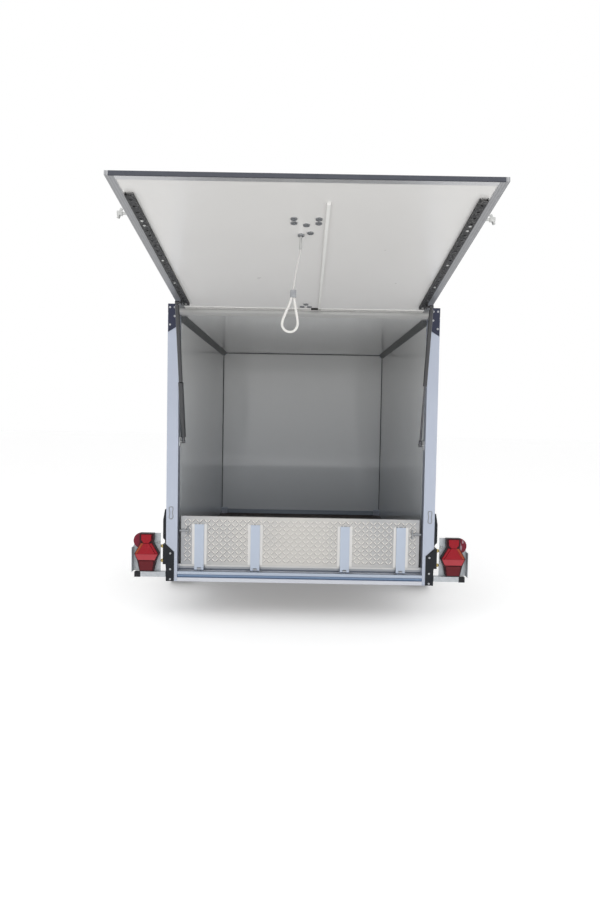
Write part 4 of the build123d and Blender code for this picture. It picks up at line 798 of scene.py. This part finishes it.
# Painted bluish shade on the straps' webs.
strap_alu.feed("Base Color", shade.tinted(on_web[0] + on_web[1], (0.46, 0.515, 0.61)))
strap_alu.feed("Roughness", 0.3 + grain * 0.16)
strap_alu.dress("flap_straps")


def chequer_tree():
    """A raised lens-shaped bar on every point, turned one way or the other by the point's tilt."""
    inputs = {"Length": "Float", "Width": "Float", "Rise": "Float", "Material": "Material"}
    tree, given = geometry_tree("chequer_bars", inputs)
    ball = {"Segments": 10, "Rings": 6, "Radius": 1.0}
    blob = given["Length"].node("GeometryNodeMeshUVSphere", {}, ball)
    lift = blob.node("GeometryNodeInputPosition", {}, {}).axes()[2]
    # Stores each point's height within the bar as the side attribute, which the bars' material uses to
    # paint light on the upper side and shade on the lower.
    blob = blob.node(
        "GeometryNodeStoreNamedAttribute",
        {"data_type": "FLOAT", "domain": "POINT"},
        {"Geometry": blob, "Name": "side", "Value": lift},
    )
    half_size = {"X": given["Length"] * 0.5, "Y": given["Rise"], "Z": given["Width"] * 0.5}
    size = given["Length"].node("ShaderNodeCombineXYZ", {}, half_size)
    row = given["Length"].node("GeometryNodeInputIndex", {}, {})
    parity = row.node("ShaderNodeMath", {"operation": "MODULO"}, {"Value": row, "Value_001": 2.0})
    tilt = parity * (math.pi / 2) - math.pi / 4
    spin = tilt.node("ShaderNodeCombineXYZ", {}, {"Y": tilt})
    turned = spin.node("FunctionNodeEulerToRotation", {}, {"Euler": spin})
    placed = given["Geometry"].node(
        "GeometryNodeInstanceOnPoints",
        {},
        {"Points": given["Geometry"], "Instance": blob, "Rotation": turned, "Scale": size},
    )
    smooth = placed.node("GeometryNodeSetShadeSmooth", {}, {"Geometry": placed})
    end_tree(tree, smooth, given["Material"])
    return tree


flap_low, flap_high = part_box("flap_plate")
bar_pitch, plain_sides, plain_edges = 0.0202, 0.02, 0.012
columns = 2 * int((flap_high[0] - flap_low[0] - plain_sides) / bar_pitch / 2) + 1
rows = int((flap_high[2] - flap_low[2] - plain_edges) / bar_pitch)
bar_places = [
    (
        (column - (columns - 1) / 2) * bar_pitch,
        flap_low[1],
        (flap_low[2] + flap_high[2]) / 2 + (row - (rows - 1) / 2) * bar_pitch,
    )
    for row in range(rows)
    for column in range(columns)
]
bar_values = {"Length": 0.0232, "Width": 0.0074, "Rise": 0.0018, "Material": bar_alu.material}
grown("chequer_bars", chequer_tree(), bar_places, bar_values, "flap")


# Wheels: road tyres with a block tread on silver-lacquered pressed-steel rims, each held by
# zinc-plated bolts. The mudguards are black mouldings.
tyre_low, tyre_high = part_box("tyre_right")
tyre_radius = (tyre_high[2] - tyre_low[2]) / 2
tyre_half = (tyre_high[0] - tyre_low[0]) / 2
hub_y = (tyre_low[1] + tyre_high[1]) / 2
hub_z = (tyre_low[2] + tyre_high[2]) / 2
hub_x = (tyre_low[0] + tyre_high[0]) / 2
rim_low, rim_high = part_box("rim_right")
rim_radius = (rim_high[2] - rim_low[2]) / 2
tread_depth = 0.007
tyre_rubber = Finish("tyre_rubber", Specular_IOR_Level=0.35)
tyre_rubber.clouded(22, 4.0, (0.016, 0.016, 0.017), (0.03, 0.03, 0.03))
tyre_rubber.rubbed(0.62, 120, 3.0, 0.2)
tyre_rubber.bump(tyre_rubber.place.noise(420, 2.0), 0.12, 0.0006)


def tread_tree():
    """Tread blocks: a brick on every point, turned with its place round the wheel."""
    inputs = {"Hub": "Vector", "Brick": "Vector", "Material": "Material"}
    tree, given = geometry_tree("tread_blocks", inputs)
    brick = given["Brick"].node("GeometryNodeMeshCube", {}, {"Size": given["Brick"]})
    here = brick.node("GeometryNodeInputPosition", {}, {})
    from_hub = {"Vector": here, "Vector_001": given["Hub"]}
    spoke = here.node("ShaderNodeVectorMath", {"operation": "SUBTRACT"}, from_hub)
    upright = {"Vector": spoke, "Vector_001": (0, 1, 1)}
    flat = spoke.node("ShaderNodeVectorMath", {"operation": "MULTIPLY"}, upright)
    turn = {"axis": "Z", "pivot_axis": "X"}
    aimed = flat.node("FunctionNodeAlignRotationToVector", turn, {"Vector": flat})
    bricks = {"Points": given["Geometry"], "Instance": brick, "Rotation": aimed}
    placed = given["Geometry"].node("GeometryNodeInstanceOnPoints", {}, bricks)
    end_tree(tree, placed, given["Material"])
    return tree


def tyre_carcass(name, centre, material):
    """The tyre without its tread blocks: a closed ring turned from its half section."""
    bead, crown = tyre_half * 0.8, tyre_half * 0.76
    deep = tyre_radius - tread_depth
    section = [
        (-bead, rim_radius), (-tyre_half * 0.93, rim_radius + 0.016), (-tyre_half, rim_radius + 0.05),
        (-tyre_half * 0.985, rim_radius + 0.074), (-tyre_half * 0.94, tyre_radius - 0.024),
        (-tyre_half * 0.88, tyre_radius - 0.013), (-crown, deep - 0.002), (-crown * 0.5, deep),
        (crown * 0.5, deep), (crown, deep - 0.002), (tyre_half * 0.88, tyre_radius - 0.013),
        (tyre_half * 0.94, tyre_radius - 0.024), (tyre_half * 0.985, rim_radius + 0.074),
        (tyre_half, rim_radius + 0.05), (tyre_half * 0.93, rim_radius + 0.016), (bead, rim_radius),
    ]
    steps = 96
    shape = bmesh.new()
    rings = []
    for step in range(steps):
        turn = 2 * math.pi * step / steps
        ring = []
        for across, out in section:
            place = (across, out * math.sin(turn), out * math.cos(turn))
            ring.append(shape.verts.new(Vector(centre) + Vector(place)))
        rings.append(ring)
    for first, second in zip(rings, rings[1:] + rings[:1]):
        for index in range(len(section)):
            following = (index + 1) % len(section)
            face = shape.faces.new((first[index], first[following], second[following], second[index]))
            face.smooth = True
    bmesh.ops.recalc_face_normals(shape, faces=shape.faces)
    made = bpy.data.meshes.new(name)
    shape.to_mesh(made)
    shape.free()
    made.materials.append(material)
    piece = bpy.data.objects.new(name, made)
    bpy.context.scene.collection.objects.link(piece)
    return piece


tread = tread_tree()
block_count = 64
# Columns: place across the tread as a share of its half width, shift round the wheel in blocks
tread_rows = [(-0.74, 0.0), (-0.25, 0.5), (0.25, 0.0), (0.74, 0.5)]
brick = (tyre_half * 0.36, 2 * math.pi * tyre_radius / block_count * 0.78, tread_depth * 1.6)
rim_lacquer = Finish("rim_lacquer", Metallic=0.45, Coat_Weight=0.4, Coat_Roughness=0.1)
rim_lacquer.clouded(30, 4.0, (0.48, 0.49, 0.5), (0.58, 0.59, 0.6))
rim_lacquer.rubbed(0.3, 140, 3.0, 0.16)
rim_lacquer.dress("rim_right", "rim_left")
for side, name in ((1, "right"), (-1, "left")):
    centre = (side * hub_x, hub_y, hub_z)
    carcass = tyre_carcass("tyre_carcass_" + name, centre, tyre_rubber.material)
    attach(carcass, "wheel_" + name)
    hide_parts("tyre_" + name)
    places = []
    for share, shift in tread_rows:
        sink = 0.0034 if abs(share) > 0.5 else 0.0006
        out = tyre_radius - brick[2] / 2 - sink
        for block in range(block_count):
            turn = 2 * math.pi * (block + shift) / block_count
            across = centre[0] + share * tyre_half
            places.append((across, hub_y + out * math.sin(turn), hub_z + out * math.cos(turn)))
    values = {"Hub": centre, "Brick": brick, "Material": tyre_rubber.material}
    grown("tread_" + name, tread, places, values, "wheel_" + name)
    bolt_ring, bolts, disc_face = 0.049, 5, rim_high[0] - 0.031
    places = []
    for bolt in range(bolts):
        turn = 2 * math.pi * bolt / bolts
        aside, up = bolt_ring * math.sin(turn), bolt_ring * math.cos(turn)
        places.append((side * disc_face, hub_y + aside, hub_z + up))
    values = {"Sides": 6, "Radius": 0.0105, "Height": 0.016, "Facing": (side, 0, 0)}
    values["Material"] = zinc.material
    grown("wheel_bolts_" + name, heads, places, values, "wheel_" + name)


# Jockey wheel: a zinc-plated steel tube with a leg that its crank winds up and down, a welded fork
# and a solid rubber wheel. It is held in the clamp on the drawbar's nose.
zinc.dress("jockey_tube", "jockey_leg", "jockey_fork", "jockey_crank")


# Studio: a plain pale floor that looks white to the camera and still takes the trailer's shadow,
# an even white surround and three soft lamps.
floor_half = 40.0
floor_mesh = bpy.data.meshes.new("studio_floor")
corner_signs = ((-1, -1), (1, -1), (1, 1), (-1, 1))
floor_corners = [(side * floor_half, end * floor_half, 0) for side, end in corner_signs]
floor_mesh.from_pydata(floor_corners, [], [(0, 1, 2, 3)])
studio_floor = bpy.data.objects.new("studio_floor", floor_mesh)
bpy.context.scene.collection.objects.link(studio_floor)
paint = Finish("studio_floor", Base_Color=(0.95, 0.95, 0.95, 1), Roughness=0.9, Specular_IOR_Level=0.1)
paint.shader.inputs["Emission Color"].default_value = (1, 1, 1, 1)
in_view = paint.place.node("ShaderNodeLightPath", {}, {}, "Is Camera Ray")
paint.feed("Emission Strength", in_view * 0.22)
floor_mesh.materials.append(paint.material)
world = bpy.data.worlds.new("studio")
bpy.context.scene.world = world
world.use_nodes = True
surround = world.node_tree.nodes["Background"]
surround.inputs["Color"].default_value = (1, 1, 1, 1)
path = Signal(world.node_tree).node("ShaderNodeLightPath", {}, {}).socket.node
ray_kinds = ("Is Camera Ray", "Is Glossy Ray", "Is Transmission Ray")
rays = [Signal(world.node_tree, path.outputs[kind]) for kind in ray_kinds]
seen = rays[0].sum("MAXIMUM", rays[0].sum("MAXIMUM", rays[0], rays[1]), rays[2])
world.node_tree.links.new((0.8 + seen * 0.2).socket, surround.inputs["Strength"])
portal_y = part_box("post_right")[0][1]
# Columns: name, place, aimed at, width, power
lamps = [
    ("key_lamp", (-2.2, portal_y - 4.2, 4.2), (0, portal_y, 0.9), 3.0, 70),
    ("fill_lamp", (2.6, portal_y - 4.0, 2.6), (0, portal_y, 0.9), 3.0, 45),
    ("inner_lamp", (0, portal_y - 9.0, 1.3), (0, portal_y, 1.0), 3.0, 190),
]
for name, place, aim, width, power in lamps:
    lamp = bpy.data.lights.new(name, "AREA")
    lamp.shape = "SQUARE"
    lamp.size = width
    lamp.energy = power
    holder = bpy.data.objects.new(name, lamp)
    holder.location = place
    holder.rotation_euler = (Vector(aim) - Vector(place)).to_track_quat("-Z", "Y").to_euler()
    holder.visible_glossy = False
    bpy.context.scene.collection.objects.link(holder)


# Camera: behind the trailer at the height of its middle, close to its middle line, tilted down and
# turned a little clockwise.
focal_pixels, picture_width, sensor = 698.69, 600, 36.0
camera_back, camera_right, camera_up = 3.5162, -0.0035, 0.8347
yaw, pitch, roll = math.radians(-0.076), math.radians(2.673), math.radians(-1.004)
forward = Vector((math.sin(yaw) * math.cos(pitch), math.cos(yaw) * math.cos(pitch), -math.sin(pitch)))
level = Vector((math.cos(yaw), -math.sin(yaw), 0))
down = forward.cross(level)
right = math.cos(roll) * level + math.sin(roll) * down
drop = math.cos(roll) * down - math.sin(roll) * level
eye = Vector((camera_right, portal_y - camera_back, sill_low[2] + camera_up))
optics = bpy.data.cameras.new("camera")
optics.sensor_fit = "HORIZONTAL"
optics.sensor_width = sensor
optics.lens = focal_pixels / picture_width * sensor
camera = bpy.data.objects.new("camera", optics)
camera.matrix_world = Matrix.Translation(eye) @ Matrix((right, -drop, -forward)).transposed().to_4x4()
bpy.context.scene.collection.objects.link(camera)
bpy.context.scene.camera = camera
bpy.context.scene.view_settings.view_transform = "Standard"
